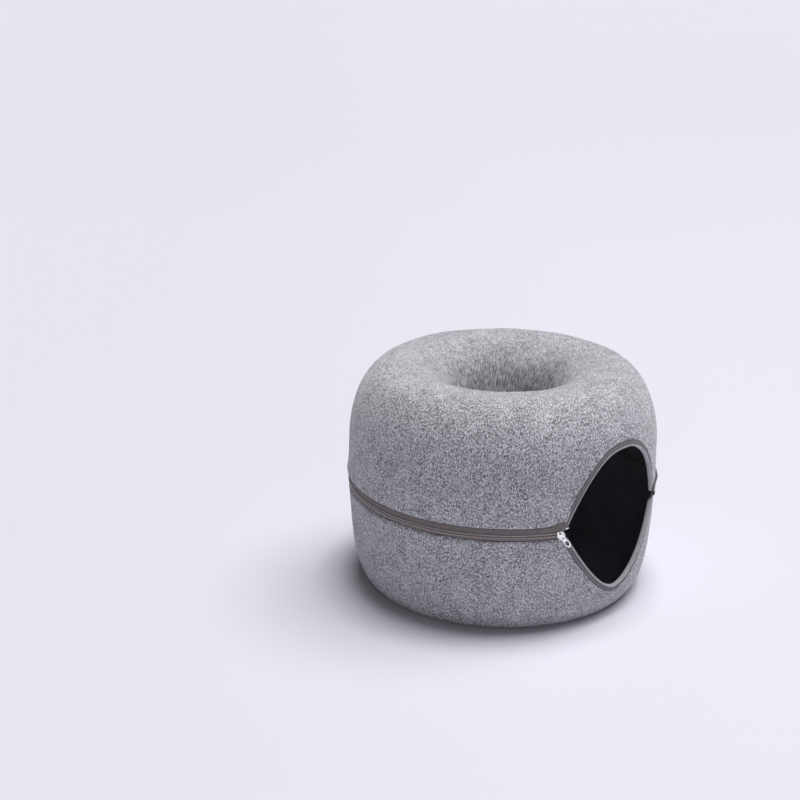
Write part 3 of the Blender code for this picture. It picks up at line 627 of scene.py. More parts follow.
def felt_swell(ring, cloth, zips, upper, azimuth, length):
    """How far the felt stands out of the plain section: swells past the tapes, dips under the
    door binding, and is never quite even."""
    line = ring.line(upper)
    far = smooth_step(abs((azimuth + half_turn) % full_turn - half_turn), 0.6, 1.9)
    height = (cloth.swell + cloth.far_swell * far) * (1.0 if upper else 0.5)
    start = zips.tape_reach if upper else cloth.lower_setback
    rise, fade = (4.0 * mm, 26.0 * mm) if upper else (5.0 * mm, 22.0 * mm)
    total = 0.0
    for away, share in ((length, 1.0), (line.total - length, 0.6)):
        total += share * height * fading(away - start, rise, fade)
    ends = 14.0 * mm, 40.0 * mm
    free = smooth_step(length, *ends) * smooth_step(line.total - length, *ends)
    edge = ring.door_edge(azimuth, upper)
    if edge > 0.0:
        beside = min(max(length - edge, 0.0), 60.0 * mm)
        total *= smooth_step(beside, 5.5 * mm, 15.5 * mm)
        ridge = fading(beside - 7.5 * mm, 5.0 * mm, 14.0 * mm)
        dip = 1.0 - smooth_step(beside, 6.5 * mm, 9.5 * mm)
        total += cloth.door_ridge * ridge - cloth.door_dip * dip
        free *= smooth_step(length - edge, 6.0 * mm, 25.0 * mm)
    spot = ring.on_cloth(upper, azimuth, length, 0.0)
    waves = noise.noise(spot * 14.0) * 1.2 + noise.noise(spot * 31.0 + Vector((7.0, 0.0, 0.0))) * 0.5
    ground = smooth_step(line.place(length)[1], 2.0 * mm, 20.0 * mm)
    return total + cloth.ripple * waves * free * ground


def cloth_shell(ring, upper, setback, top, thickness, rows, inner_rows, columns, swell):
    """Half ring of cloth with rounded edges, its outer rows closest together at both edges."""
    line = ring.line(upper)
    half = 0.5 * thickness
    crowding_share = 0.2 / half_turn
    bend = 6
    turns = [half_turn * step / bend for step in range(1, bend)]
    shape = Shape()
    sections = []
    acrosses = []
    for azimuth in columns:
        low = max(setback, ring.door_edge(azimuth, upper)) + half
        high = line.total - setback - half
        spots = []
        for row in range(rows + 1):
            share = row / rows
            length = low + (high - low) * (share - crowding_share * math.sin(full_turn * share))
            spots.append((length, top + swell(azimuth, length)))
        spots += [(high + half * math.sin(angle), top - half + half * math.cos(angle)) for angle in turns]
        spots += [(high + (low - high) * row / inner_rows, top - thickness) for row in range(inner_rows + 1)]
        spots += [(low - half * math.sin(angle), top - half - half * math.cos(angle)) for angle in turns]
        sections.append([ring.on_cloth(upper, azimuth, length, depth) for length, depth in spots])
        acrosses.append([length for length, depth in spots])
    arounds = [azimuth * ring.sizes.outer_radius for azimuth in columns]
    arounds.append(arounds[0] + full_turn * ring.sizes.outer_radius)
    shape.loft(sections, arounds, acrosses, True)
    return shape


class TUNNEL_OT_felt_shells(bpy.types.Operator):
    """Make the two half shells of melange felt"""
    bl_idname = "tunnel.felt_shells"
    bl_label = "Felt shells"

    def execute(self, context):
        ring, cloth, zips, look = settings(context)
        felt = shared_finish(melange_felt, "melange_felt", look)
        columns = ring.azimuths(96, 320)
        for upper, half in ((True, "upper"), (False, "lower")):
            setback = cloth.upper_setback if upper else cloth.lower_setback
            shape = cloth_shell(ring, upper, setback, 0.0, cloth.felt_thickness, 150, 90, columns,
                                lambda azimuth, length: felt_swell(ring, cloth, zips, upper, azimuth, length))
            shape.build(half + "_felt", half + "_half", half + "_shell", felt, 60.0, half + "_shell")
        return {"FINISHED"}


class TUNNEL_OT_linings(bpy.types.Operator):
    """Make the dark linings behind the felt"""
    bl_idname = "tunnel.linings"
    bl_label = "Linings"

    def execute(self, context):
        ring, cloth, zips, look = settings(context)
        lining = shared_finish(dark_lining, "dark_lining", look.lining)
        columns = ring.azimuths(48, 160)
        top = -cloth.felt_thickness - cloth.layer_gap
        for upper, half in ((True, "upper"), (False, "lower")):
            setback = cloth.upper_setback if upper else cloth.lining_setback
            shape = cloth_shell(ring, upper, setback, top, cloth.lining_thickness, 90, 90, columns,
                                lambda azimuth, length: 0.0)
            self.crease(ring, shape)
            node = half + "_lining"
            shape.build(half + "_lining_cloth", half + "_half", node, lining, 60.0, node)
        return {"FINISHED"}

    def crease(self, ring, shape):
        """Soft creases in the lining, away from the zips and the doorway."""
        sizes = ring.sizes
        deepest = 1.0 * mm
        moved = []
        for point in shape.points:
            radius = math.hypot(point.x, point.y)
            azimuth = math.atan2(point.x, -point.y)
            inward = ring_point(azimuth, sizes.crown_radius, 0.5 * sizes.crown_height) - point
            wave = noise.noise(Vector((azimuth * 9.0, radius * 22.0, point.z * 22.0)))
            calm = smooth_step(abs(point.z - sizes.zip_height), 20.0 * mm, 60.0 * mm)
            calm *= smooth_step(abs(azimuth), ring.door_half_angle, 2.0 * ring.door_half_angle)
            moved.append(point + inward.normalized() * max(wave, 0.0) * deepest * calm)
        shape.points = moved


def door_path(ring, upper, end_length, count):
    """The doorway's edge as (azimuth, length, direction into the cloth)."""
    height = ring.door_height(upper)
    power = ring.door_power(upper)
    end = (1.0 - end_length / height) ** (1.0 / power)
    path = []
    for step in range(count + 1):
        share = end * math.sin(quarter_turn * (2.0 * step / count - 1.0))
        length = height * (1.0 - abs(share) ** power)
        slope = -height * power * abs(share) ** (power - 1.0) * (1.0 if share >= 0.0 else -1.0)
        slope /= ring.door_half_angle * ring.line(upper).place(length)[0]
        run = math.hypot(1.0, slope)
        path.append((share * ring.door_half_angle, length, -slope / run, 1.0 / run))
    return path


class TUNNEL_OT_door_bindings(bpy.types.Operator):
    """Make the folded, stitched strips round the doorway"""
    bl_idname = "tunnel.door_bindings"
    bl_label = "Door bindings"
    path_steps = 300
    upper_clearance = 0.4 * mm
    lower_clearance = 0.5 * mm
    thin_end = 0.35
    stitch_inset = 4.8 * mm
    stitch_height = 0.85 * mm
    stitch_radius = 0.24 * mm

    def execute(self, context):
        ring, cloth, zips, look = settings(context)
        # The binding's colour carries a painted highlight on its lip and painted shade in its groove and
        # along its outer edge.
        weave = shared_finish(woven, "door_binding_weave", look.binding, 1.1 * mm, 0.70, 1.25, binding_painted_light_and_shade)
        thread = shared_finish(sewing_thread, "binding_thread", tint(look.binding, 0.22))
        ends = ((True, "upper", cloth.upper_setback + self.upper_clearance),
                (False, "lower", cloth.lower_setback + self.lower_clearance))
        for upper, half, end in ends:
            path = door_path(ring, upper, end, self.path_steps)
            rounds = [0.0]
            for before, after in zip(path, path[1:]):
                radius = ring.line(upper).place(before[1])[0]
                rounds.append(rounds[-1] + math.hypot((after[0] - before[0]) * radius, after[1] - before[1]))
            shape = Shape()
            sections = []
            acrosses = []
            for (azimuth, length, across, along), run in zip(path, rounds):
                from_end = min(run, rounds[-1] - run)
                full = smooth_step(from_end, 2.0 * mm, 9.0 * mm) if upper else 1.0
                profile = self.profile(cloth, run, self.thin_end + (1.0 - self.thin_end) * full)
                sections.append([self.spot(ring, upper, azimuth, length, across, along, reach, depth)
                                 for reach, depth in profile])
                acrosses.append([reach for reach, depth in profile])
            shape.loft(sections, rounds, acrosses, False)
            shape.build(half + "_door_strip", half + "_half", half + "_door_binding", weave, 60.0,
                        half + "_door_binding")
            stitches = Shape()
            self.sew(ring, cloth, upper, path, rounds, stitches)
            stitches.build(half + "_door_stitches", half + "_half", half + "_door_binding", thread)
        return {"FINISHED"}

    def spot(self, ring, upper, azimuth, length, across, along, reach, depth):
        radius = ring.line(upper).place(length)[0]
        return ring.on_cloth(upper, azimuth + reach * across / radius, length + reach * along, depth)

    def profile(self, cloth, run, thin):
        """Outline of the strip: two ridges with a sewn groove outside, a fold round the edge, and a
        leg behind the lining. The upper strip is pressed thin towards its ends."""
        pucker = 0.1 * (0.5 - 0.5 * math.cos(full_turn * run / cloth.binding_stitch))
        reach = cloth.binding_reach
        gap = cloth.binding_gap
        web = -gap - cloth.binding_thickness
        deep = -(cloth.felt_thickness + cloth.layer_gap + cloth.lining_thickness + gap)
        back = deep - cloth.binding_thickness
        low = 0.4 * mm * thin
        ridges = ((0.0, 0.40), (-0.15, 0.75), (0.1, 1.05), (0.9, 1.30), (2.1, 1.40 - pucker), (3.7, 1.25),
                  (4.4, 0.85 - pucker), (5.1, 0.80), (5.7, 1.15), (6.6, 1.55), (7.7, 1.65))
        outer = [(reach - inset * mm, height * mm * thin) for inset, height in ridges]
        fold = [(web + 0.55 * mm, 1.40 * mm * thin), (web + 0.12 * mm, 0.90 * mm * thin),
                (web - 0.05 * mm, 0.1 * mm), (web, 0.5 * back), (web + 0.15 * mm, back + 0.5 * mm),
                (web + 0.7 * mm, back)]
        inner = [(0.5 * reach, back - 0.1 * mm), (reach - 0.4 * mm, back + 0.05 * mm),
                 (reach, 0.5 * (back + deep)), (reach - 0.3 * mm, deep), (0.5 * reach, deep),
                 (-0.5 * gap, deep), (-0.5 * gap, 0.5 * (deep + low)), (-0.5 * gap, low), (0.5 * reach, low)]
        return outer + fold + inner

    def sew(self, ring, cloth, upper, path, rounds, shape):
        """One row of stitches sunk in the groove."""
        pitch = cloth.binding_stitch
        count = int((rounds[-1] - 2.0 * pitch) / pitch)
        start = 0.5 * (rounds[-1] - count * pitch)
        reach = cloth.binding_reach - self.stitch_inset
        top = self.stitch_height
        stitch_shares = ((0.14, 0.5), (0.22, 0.08), (0.40, 0.0), (0.60, 0.0), (0.78, 0.08), (0.86, 0.5))
        for number in range(count):
            points = []
            for share, drop in stitch_shares:
                run = start + (number + share) * pitch
                index = min(max(bisect.bisect_right(rounds, run) - 1, 0), len(path) - 2)
                part = (run - rounds[index]) / (rounds[index + 1] - rounds[index])
                azimuth, length, across, along = (a + (b - a) * part
                                                  for a, b in zip(path[index], path[index + 1]))
                points.append(self.spot(ring, upper, azimuth, length, across, along, reach, top - drop * mm))
            shape.tube(points, self.stitch_radius, 6)


class ZipRun:
    """One zip: where its pieces stand round the ring."""
    chain_in_slider = 1.2 * mm
    upper_stop_inset = 3.6 * mm
    hole_stop_inset = 1.3 * mm
    lower_stop_inset = 1.8 * mm

    def __init__(self, ring, cloth, zips, prefix):
        self.ring = ring
        self.zips = zips
        self.cloth = cloth
        self.at_hole = prefix == "inner"
        self.radius = ring.sizes.hole_radius if self.at_hole else ring.zip_radius
        self.outward = -1.0 if self.at_hole else 1.0
        self.overrun = zips.inner_tape_overrun if self.at_hole else zips.tape_overrun
        if self.at_hole:
            seam = 0.5 * zips.inner_tape_gap / self.radius
            self.start = -half_turn + seam
            self.end = half_turn - seam - (self.overrun + zips.end_gap) / self.radius
        else:
            self.start = ring.door_half_angle + cloth.layer_gap / ring.zip_radius
            self.end = full_turn - ring.door_half_angle
        self.half_slider = 0.5 * zips.slider_length
        self.rest = self.end - (self.half_slider + zips.slider_inset) / self.radius
        self.chain_start = self.start + (zips.box_length + 0.5 * zips.end_gap) / self.radius
        self.chain_end = self.rest + self.chain_in_slider / self.radius
        self.tape_end = self.end + self.overrun / self.radius
        self.lower_end = self.end + zips.lower_tape_overrun / self.radius
        inset = self.hole_stop_inset if self.at_hole else self.upper_stop_inset
        self.upper_stop = self.tape_end - inset / self.radius
        self.lower_stop = self.lower_end - self.lower_stop_inset / self.radius

    def past_end(self, azimuth):
        """Length round the ring from the end of the zip."""
        return (azimuth - self.end) * self.radius

    def edge(self, azimuth):
        """Middle of the chain to the upper tape's edge, which turns away at its free end."""
        past = self.past_end(azimuth)
        zips = self.zips
        if self.at_hole:
            return zips.tape_edge + zips.inner_tape_curl * smooth_step(past, 0.0, 0.4 * self.overrun)
        first = smooth_step(past, -4.0 * mm, 2.5 * mm)
        last = smooth_step(past, 0.0, self.overrun)
        return zips.tape_edge + zips.tape_curl * (0.72 * first + 0.28 * last)

    def point(self, upper, azimuth, away, depth):
        """On the cloth, by distance from the chain's middle and height above the cloth."""
        line = self.ring.line(upper)
        if away < 0.0:
            radius, height = line.at(line.total if self.at_hole else 0.0, depth)
            return ring_point(azimuth, radius, height + (away if upper else -away))
        return self.ring.on_cloth(upper, azimuth, line.total - away if self.at_hole else away, depth)

    def columns(self, start, end, spacing):
        count = max(int(round((end - start) * self.radius / spacing)), 1)
        return [start + (end - start) * step / count for step in range(count + 1)]

    def bend(self, place, x, y, w):
        """Point near an azimuth: x round the ring, y up, w out of the cloth."""
        turned = place + x / self.radius
        return ring_point(turned, self.radius + self.outward * w, self.ring.sizes.zip_height + y)


zip_names = ("outer", "inner")


class TUNNEL_OT_zip_tapes(bpy.types.Operator):
    """Make the woven tapes of both zips, with their seams"""
    bl_idname = "tunnel.zip_tapes"
    bl_label = "Zip tapes"
    fine_length = 14.0 * mm
    wide_step = 4.0 * mm
    fine_step = 0.4 * mm
    slider_side_lift = 1.9 * mm
    unevenness = 0.20 * mm
    end_slant = 10.0 * mm
    seam_pitch = 3.2 * mm
    seam_inset = 1.9 * mm

    def execute(self, context):
        ring, cloth, zips, look = settings(context)
        weave = shared_finish(woven, "zip_tape_weave", look.tape, 1.3 * mm, 0.72, 1.25)
        thread = shared_finish(sewing_thread, "tape_thread", tint(look.tape, 0.80))
        for prefix in zip_names:
            run = ZipRun(ring, cloth, zips, prefix)
            for upper, half in ((True, "upper"), (False, "lower")):
                shape = Shape()
                end = run.tape_end if upper else run.lower_end
                near = run.end - self.fine_length / run.radius
                columns = run.columns(run.start, near, self.wide_step)
                columns += run.columns(near, end, self.fine_step)[1:]
                sections = []
                acrosses = []
                for azimuth in columns:
                    spots = self.upper_spots(run, azimuth) if upper else self.lower_spots(run, azimuth)
                    sections.append([run.point(upper, turned, away, depth) for turned, away, depth in spots])
                    acrosses.append([away for turned, away, depth in spots])
                shape.loft(sections, [azimuth * run.radius for azimuth in columns], acrosses, False)
                node = prefix + "_zip_" + half + "_tape"
                shape.build(prefix + "_zip_" + half + "_woven_tape", half + "_half", node, weave, 50.0, node)
            seam = Shape()
            self.sew(run, seam)
            seam.build(prefix + "_zip_tape_seam", "upper_half", prefix + "_zip_upper_tape", thread)
        return {"FINISHED"}

    def lift(self, run, azimuth, away):
        """How far the upper tape stands off the felt: over the door binding and beside the doorway."""
        wave = noise.noise(Vector((azimuth * run.radius * 60.0, away * 250.0, 3.0))) * self.unevenness
        rise = smooth_step(away, 4.5 * mm, 12.0 * mm)
        if run.at_hole:
            return wave * rise
        travelled = (azimuth - run.start) * run.radius
        slider_side = 1.0 - smooth_step(-run.past_end(azimuth), 14.0 * mm, 45.0 * mm)
        box_side = 1.0 - smooth_step(travelled, 115.0 * mm, 170.0 * mm)
        box_side *= 0.5 + 0.5 * smooth_step(travelled, 10.0 * mm, 45.0 * mm)
        return (max(slider_side * self.slider_side_lift, box_side * run.zips.tape_lift) + wave) * rise

    def upper_spots(self, run, azimuth):
        """Tape on the felt. Near the doorway its far edge flares out, its free end turns away from
        the chain, and the end is cut at a slant."""
        zips = run.zips
        edge = run.edge(azimuth)
        reach = zips.tape_reach
        slant = 0.0
        if not run.at_hole:
            past = run.past_end(azimuth)
            slant = self.end_slant * smooth_step(past, -14.0 * mm, zips.tape_overrun)
            reach += zips.tape_flare * smooth_step(past - slant, -30.0 * mm, 0.0)
        low = zips.tape_gap
        high = low + zips.tape_thickness
        count = 9
        top = []
        bottom = []
        for step in range(count + 1):
            away = edge + (reach - edge) * step / count
            raised = self.lift(run, azimuth, away)
            turned = azimuth - slant * step / count / run.radius
            top.append((turned, away, high + raised))
            bottom.append((turned, away, low + max(raised, 0.0)))
        return bottom + top[::-1]

    def lower_spots(self, run, azimuth):
        """Tape that turns in past the edge of the felt and lies behind it. Its free end stays flat."""
        zips = run.zips
        half = 0.5 * zips.tape_thickness
        high = zips.tape_gap + half
        deep = -run.cloth.felt_thickness - 1.0 * mm
        level = [(zips.tape_edge, high), (3.0 * mm, high), (5.8 * mm, high), (6.6 * mm, high - 0.5 * mm),
                 (7.3 * mm, high - 2.0 * mm)]
        tucked = level + [(8.0 * mm, deep + 1.0 * mm), (9.0 * mm, deep), (zips.tape_tuck, deep)]
        short = level + [(7.4 * mm, deep + 1.6 * mm), (7.6 * mm, deep + 0.8 * mm),
                         (7.7 * mm, deep + 0.1 * mm)]
        flat = [(zips.tape_edge + 5.6 * mm * step / (len(short) - 1), high) for step in range(len(short))]
        past = run.past_end(azimuth)
        turn = 0.8 * mm
        if run.at_hole:
            middle = tucked
        elif past < turn:
            middle = self.between(tucked, short, smooth_step(past, -turn, turn))
        else:
            middle = self.between(short, flat, smooth_step(past, turn, 2.0 * turn))
        top = []
        bottom = []
        for index, (away, depth) in enumerate(middle):
            before = middle[max(index - 1, 0)]
            after = middle[min(index + 1, len(middle) - 1)]
            length = math.hypot(after[0] - before[0], after[1] - before[1])
            across = (-(after[1] - before[1]) / length * half, (after[0] - before[0]) / length * half)
            top.append((azimuth, away + across[0], depth + across[1]))
            bottom.append((azimuth, away - across[0], depth - across[1]))
        return bottom + top[::-1]

    def between(self, first, second, share):
        return [tuple(a + (b - a) * share for a, b in zip(one, two)) for one, two in zip(first, second)]

    def sew(self, run, shape):
        """Row of stitches that holds the upper tape on the felt."""
        zips = run.zips
        top = zips.tape_gap + zips.tape_thickness
        away = zips.tape_reach - self.seam_inset
        length = (run.end - run.start) * run.radius - 3.0 * mm
        stitch_shares = ((0.15, -0.3), (0.24, 0.12), (0.5, 0.17), (0.76, 0.12), (0.85, -0.3))
        for number in range(int(length / self.seam_pitch)):
            points = []
            for share, depth in stitch_shares:
                azimuth = run.start + (1.5 * mm + (number + share) * self.seam_pitch) / run.radius
                raised = self.lift(run, azimuth, away)
                points.append(run.point(True, azimuth, away, top + depth * mm + raised))
            shape.tube(points, zips.thread_radius, 5)


class TUNNEL_OT_zip_coils(bpy.types.Operator):
    """Make the coiled teeth and the thread that holds them to their tapes"""
    bl_idname = "tunnel.zip_coils"
    bl_label = "Zip coils"

    def execute(self, context):
        ring, cloth, zips, look = settings(context)
        nylon = shared_finish(coil_nylon, "zip_coil_nylon", look.coil)
        bright = shared_finish(sewing_thread, "coil_thread", look.thread)
        # The lower row's thread is the same thread in painted shade, darker because the light falls from
        # above.
        thread_in_painted_shade = shared_finish(sewing_thread, "dull_coil_thread", tint(look.thread, 0.80))
        for prefix in zip_names:
            run = ZipRun(ring, cloth, zips, prefix)
            for upper, half in ((True, "upper"), (False, "lower")):
                node = prefix + "_zip_" + half + "_coil"
                teeth = Shape()
                sewing = Shape()
                self.wind(run, upper, teeth, sewing)
                teeth.build(prefix + "_zip_" + half + "_teeth", half + "_half", node, nylon, 80.0, node)
                sewing.build(prefix + "_zip_" + half + "_chain_stitch", half + "_half", node,
                             bright if upper else thread_in_painted_shade, 80.0)
        return {"FINISHED"}

    def wind(self, run, upper, teeth, sewing):
        """A flattened spiral: a leg on top out to the tooth's head, and back underneath. A stitch
        crosses each tooth."""
        zips = run.zips
        wire = zips.coil_wire
        count = int((run.chain_end - run.chain_start) * run.radius / zips.coil_pitch) - 1
        step = (run.chain_end - run.chain_start) / (count + 1)
        offset = 0.5 if upper else 0.0
        back = zips.chain_half_height - wire
        head = 0.24 * mm + wire
        top = 2.60 * mm
        low = 1.42 * mm + wire
        middle = 0.5 * (top + low)
        turn = [(0.00, back, middle), (0.06, back - 0.25 * mm, top - 0.08 * mm),
                (0.14, 0.62 * back + 0.38 * head, top), (0.22, head + 0.45 * mm, top),
                (0.27, head, middle + 0.25 * mm), (0.30, head, middle - 0.25 * mm),
                (0.36, head + 0.5 * mm, low), (0.60, 0.5 * (back + head), low),
                (0.88, back - 0.3 * mm, low + 0.05 * mm)]
        across = 1.85 * mm
        stitch = [(-0.12, across, 1.50 * mm), (-0.05, across, 2.50 * mm), (0.10, across, 2.75 * mm),
                  (0.25, across, 2.50 * mm), (0.32, across, 1.50 * mm)]

        def laid(number, shape_of_one):
            return [run.point(upper, run.chain_start + (number + offset + share) * step, away, depth)
                    for share, away, depth in shape_of_one]

        path = []
        for number in range(count):
            path += laid(number, turn)
            sewing.tube(laid(number, stitch), 2.7 * zips.thread_radius, 6)
        teeth.tube(path, wire, 6)


def catmull(points, steps):
    """Rounded line through points, ends included."""
    result = []
    for index in range(len(points) - 1):
        a = points[max(index - 1, 0)]
        b = points[index]
        c = points[index + 1]
        d = points[min(index + 2, len(points) - 1)]
        for step in range(steps):
            t = step / steps
            result.append(tuple(0.5 * (2.0 * q + (r - p) * t + (2.0 * p - 5.0 * q + 4.0 * r - s) * t * t
                                       + (3.0 * q - p - 3.0 * r + s) * t * t * t)
                                for p, q, r, s in zip(a, b, c, d)))
    result.append(points[-1])
    return result


def block(outline, low, high, mapper):
    """Closed body between two heights of an outline. The mapper puts its points in place."""
    work = bmesh.new()
    bottom = [work.verts.new(mapper(x, y, low)) for x, y in outline]
    top = [work.verts.new(mapper(x, y, high)) for x, y in outline]
    work.faces.new(bottom)
    work.faces.new(top)
    for index in range(len(outline)):
        after = (index + 1) % len(outline)
        work.faces.new((bottom[index], bottom[after], top[after], top[index]))
    bmesh.ops.recalc_face_normals(work, faces=work.faces)
    return work


def loose_object(works):
    """One object of several closed bodies."""
    joined = bmesh.new()
    for work in works:
        part = bpy.data.meshes.new("part")
        work.to_mesh(part)
        work.free()
        joined.from_mesh(part)
        bpy.data.meshes.remove(part)
    mesh = bpy.data.meshes.new("blank")
    joined.to_mesh(mesh)
    joined.free()
    made = bpy.data.objects.new("blank", mesh)
    bpy.context.scene.collection.objects.link(made)
    return made


def evaluated(made, spares):
    """Finished mesh of an object with modifiers. The object and the spares are removed."""
    graph = bpy.context.evaluated_depsgraph_get()
    mesh = bpy.data.meshes.new_from_object(made.evaluated_get(graph))
    for spare in [made] + spares:
        old = spare.data
        bpy.data.objects.remove(spare, do_unlink=True)
        bpy.data.meshes.remove(old)
    return mesh


def carve(works, holes):
    """One body of several, with holes cut through it. Bodies that overlap need use_self."""
    overlapping = len(works) > 1
    made = loose_object(works)
    cutters = [loose_object([hole]) for hole in holes]
    for cutter in cutters:
        step = made.modifiers.new("cut", "BOOLEAN")
        step.operation = "DIFFERENCE"
        step.solver = "EXACT"
        step.use_self = overlapping
        step.object = cutter
    mesh = evaluated(made, cutters)
    carved = bmesh.new()
    carved.from_mesh(mesh)
    bpy.data.meshes.remove(mesh)
    return carved


def cast(works, grain, rounds):
    """Joins bodies and rounds every edge, as on a small casting."""
    made = loose_object(works)
    merge = made.modifiers.new("merge", "REMESH")
    merge.mode = "VOXEL"
    merge.voxel_size = grain
    soften = made.modifiers.new("soften", "SMOOTH")
    soften.factor = 0.5
    soften.iterations = rounds
    thin = made.modifiers.new("thin", "DECIMATE")
    thin.ratio = 0.35
    return evaluated(made, [])


def rectangle(x_low, x_high, y_low, y_high):
    return [(x_low, y_low), (x_high, y_low), (x_high, y_high), (x_low, y_high)]


def circle(x, y, radius, sides):
    return [(x + radius * math.cos(full_turn * k / sides), y + radius * math.sin(full_turn * k / sides))
            for k in range(sides)]


def mirrored(half):
    return half + [(x, -y) for x, y in reversed(half) if abs(y) > 1e-7]


# How far the slider's front plate and the pull's pivot lie out from the zip line.
plate_low = 3.5 * mm
plate_high = 4.6 * mm
pivot_depth = 5.5 * mm


def dress_castings(context, part, maker):
    """The slider or the pull of both zips, each on a body of its own."""
    ring, cloth, zips, look = settings(context)
    metal = shared_finish(plated_metal, "plated_metal", look.metal)
    for prefix in zip_names:
        mesh = maker(ZipRun(ring, cloth, zips, prefix))
        node = prefix + "_zip_" + part
        dress(prefix + "_cast_" + part, mesh, prefix + "_" + part, metal, 70.0, (node,))


class TUNNEL_OT_sliders(bpy.types.Operator):
    """Make the cast sliders of both zips"""
    bl_idname = "tunnel.sliders"
    bl_label = "Sliders"
    grain = 0.13 * mm
    # Each point: its place in half lengths, and its width as shares of the rear and front half widths.
    side_shares = ((-1.0, 0.0, 0.0), (-1.0, 0.55, 0.0), (-0.93, 0.93, 0.0), (-0.6, 1.0, 0.0),
                   (-0.1, 0.88, 0.12), (0.3, 0.25, 0.75), (0.55, 0.0, 1.0), (0.86, 0.0, 0.97),
                   (0.98, 0.0, 0.72), (0.90, 0.0, 0.35), (0.82, 0.0, 0.0))
    back_low = -1.6 * mm
    back_high = -0.5 * mm
    wall_gap = 0.4 * mm
    wall_thickness = 0.8 * mm
    wall_low = 1.5 * mm
    web_half = 0.2 * mm
    web_low = -0.8 * mm
    hole_plate_drop = 0.3 * mm
    overlap = 0.3 * mm
    back_share = 0.93
    # The arch and its eye: half span, rise and roundness.
    arch = (4.0 * mm, 3.05 * mm, 0.72)
    eye = (2.95 * mm, 2.20 * mm, 0.60)
    arch_foot = plate_high - 0.4 * mm
    arch_half_width = 0.65 * mm
    window = ((-2.4, 0.8), (1.4, 0.8), (1.7, 3.9), (-2.4, 3.4))
    window_low = 0.8 * mm
    window_high = 8.0 * mm

    def execute(self, context):
        dress_castings(context, "slider", self.cast_slider)
        return {"FINISHED"}

    def bow(self, half_span, rise, power):
        """Line from foot to foot of the arch."""
        angles = [half_turn * step / 16 for step in range(17)]
        return [(-half_span * math.cos(angle), self.arch_foot + rise * math.sin(angle) ** power)
                for angle in angles]

    def cast_slider(self, run):
        """A plate on each side of the chain, two walls and a web between them, and the arch that
        holds the pull. A window shows the chain beside the web."""
        zips = run.zips
        half = run.half_slider
        rear = 0.5 * zips.slider_rear
        front = 0.5 * zips.slider_front
        side = [(half * along, rear * of_rear + front * of_front)
                for along, of_rear, of_front in self.side_shares]
        outline = mirrored(catmull(side, 4))

        def bend(x, y, w):
            return run.bend(run.rest, x, y, w)

        top = plate_high - (self.hole_plate_drop if run.at_hole else 0.0)
        sunk = plate_low + self.overlap
        back = [(x, y * self.back_share) for x, y in outline]
        works = [block(outline, plate_low, top, bend), block(back, self.back_low, self.back_high, bend)]
        for sign in (-1.0, 1.0):
            near = zips.chain_half_height + self.wall_gap
            wall = rectangle(-0.9 * half, 0.80 * half, sign * near, sign * (near + self.wall_thickness))
            works.append(block(wall, self.wall_low, sunk, bend))
        web = rectangle(0.40 * half, 0.84 * half, -self.web_half, self.web_half)
        works.append(block(web, self.web_low, sunk, bend))
        arch = self.bow(*self.arch) + self.bow(*self.eye)[::-1]
        works.append(block(arch, -self.arch_half_width, self.arch_half_width,
                           lambda x, w, y: bend(x, y, w)))
        window = block([(x * mm, y * mm) for x, y in self.window], self.window_low, self.window_high, bend)
        return cast([carve(works, [window])], self.grain, 3)


def pull_frame(run):
    """Where the pull hangs: along, across and out of its own face."""
    along = Vector((math.cos(run.rest), math.sin(run.rest), 0.0)) * run.outward
    out = Vector((math.sin(run.rest), -math.cos(run.rest), 0.0)) * run.outward
    origin = ring_point(run.rest, run.radius, run.ring.sizes.zip_height)
    turn = Matrix((along, Vector((0.0, 0.0, 1.0)), out)).transposed().to_4x4()
    hang = run.zips.pull_hang if run.outward > 0.0 else half_turn - run.zips.pull_hang
    pivot = Matrix.Translation((0.0, 0.0, pivot_depth)) @ Matrix.Rotation(-hang, 4, "Z")
    return Matrix.Translation(origin) @ turn @ pivot


class TUNNEL_OT_pulls(bpy.types.Operator):
    """Make the waisted pulls with their pointed loops"""
    bl_idname = "tunnel.pulls"
    bl_label = "Pulls"
    grain = 0.11 * mm
    # Half outlines of the tab, its eye and its loop, in millimetres of a pull of the drawn length.
    drawn_length = 27.2
    half_tab = ((-0.3, 5.1), (0.7, 5.85), (2.4, 5.85), (3.9, 5.2), (7.2, 3.85), (10.8, 3.1), (13.5, 3.2),
                (16.2, 3.85), (18.2, 4.5), (20.2, 4.5), (22.2, 3.85), (24.4, 2.6), (26.4, 1.2),
                (27.1, 0.4), (27.2, 0.0))
    half_eye = ((-1.2, 4.0), (1.9, 4.0), (3.0, 3.2), (3.7, 0.0))
    half_loop = ((13.8, 0.0), (14.5, 1.4), (16.8, 2.8), (19.2, 3.2), (21.0, 2.6), (23.0, 1.1), (24.0, 0.0))
    hole_place = 6.7
    hole_radius = 1.5
    half_thickness = 0.6
    cut_half = 2.0
    bar_radius = 0.5
    bar_half = 5.0

    def execute(self, context):
        dress_castings(context, "pull", self.cast_pull)
        return {"FINISHED"}

    def cast_pull(self, run):
        """A flat tab with three holes, and the round bar that hangs in the slider's arch."""
        local = pull_frame(run)
        size = run.zips.pull_length / self.drawn_length

        def place(along, across, height):
            return local @ Vector((along * size, across * size, height * size))

        tab = block(mirrored(catmull(self.half_tab, 5)), -self.half_thickness, self.half_thickness, place)
        outlines = (mirrored(catmull(self.half_eye, 4)), mirrored(catmull(self.half_loop, 5)),
                    circle(self.hole_place, 0.0, self.hole_radius, 24))
        holes = [block(outline, -self.cut_half, self.cut_half, place) for outline in outlines]
        bar = block(circle(0.0, 0.0, self.bar_radius, 16), -self.bar_half, self.bar_half,
                    lambda along, height, across: place(along, across, height))
        return cast([carve([tab], holes), bar], self.grain, 3)


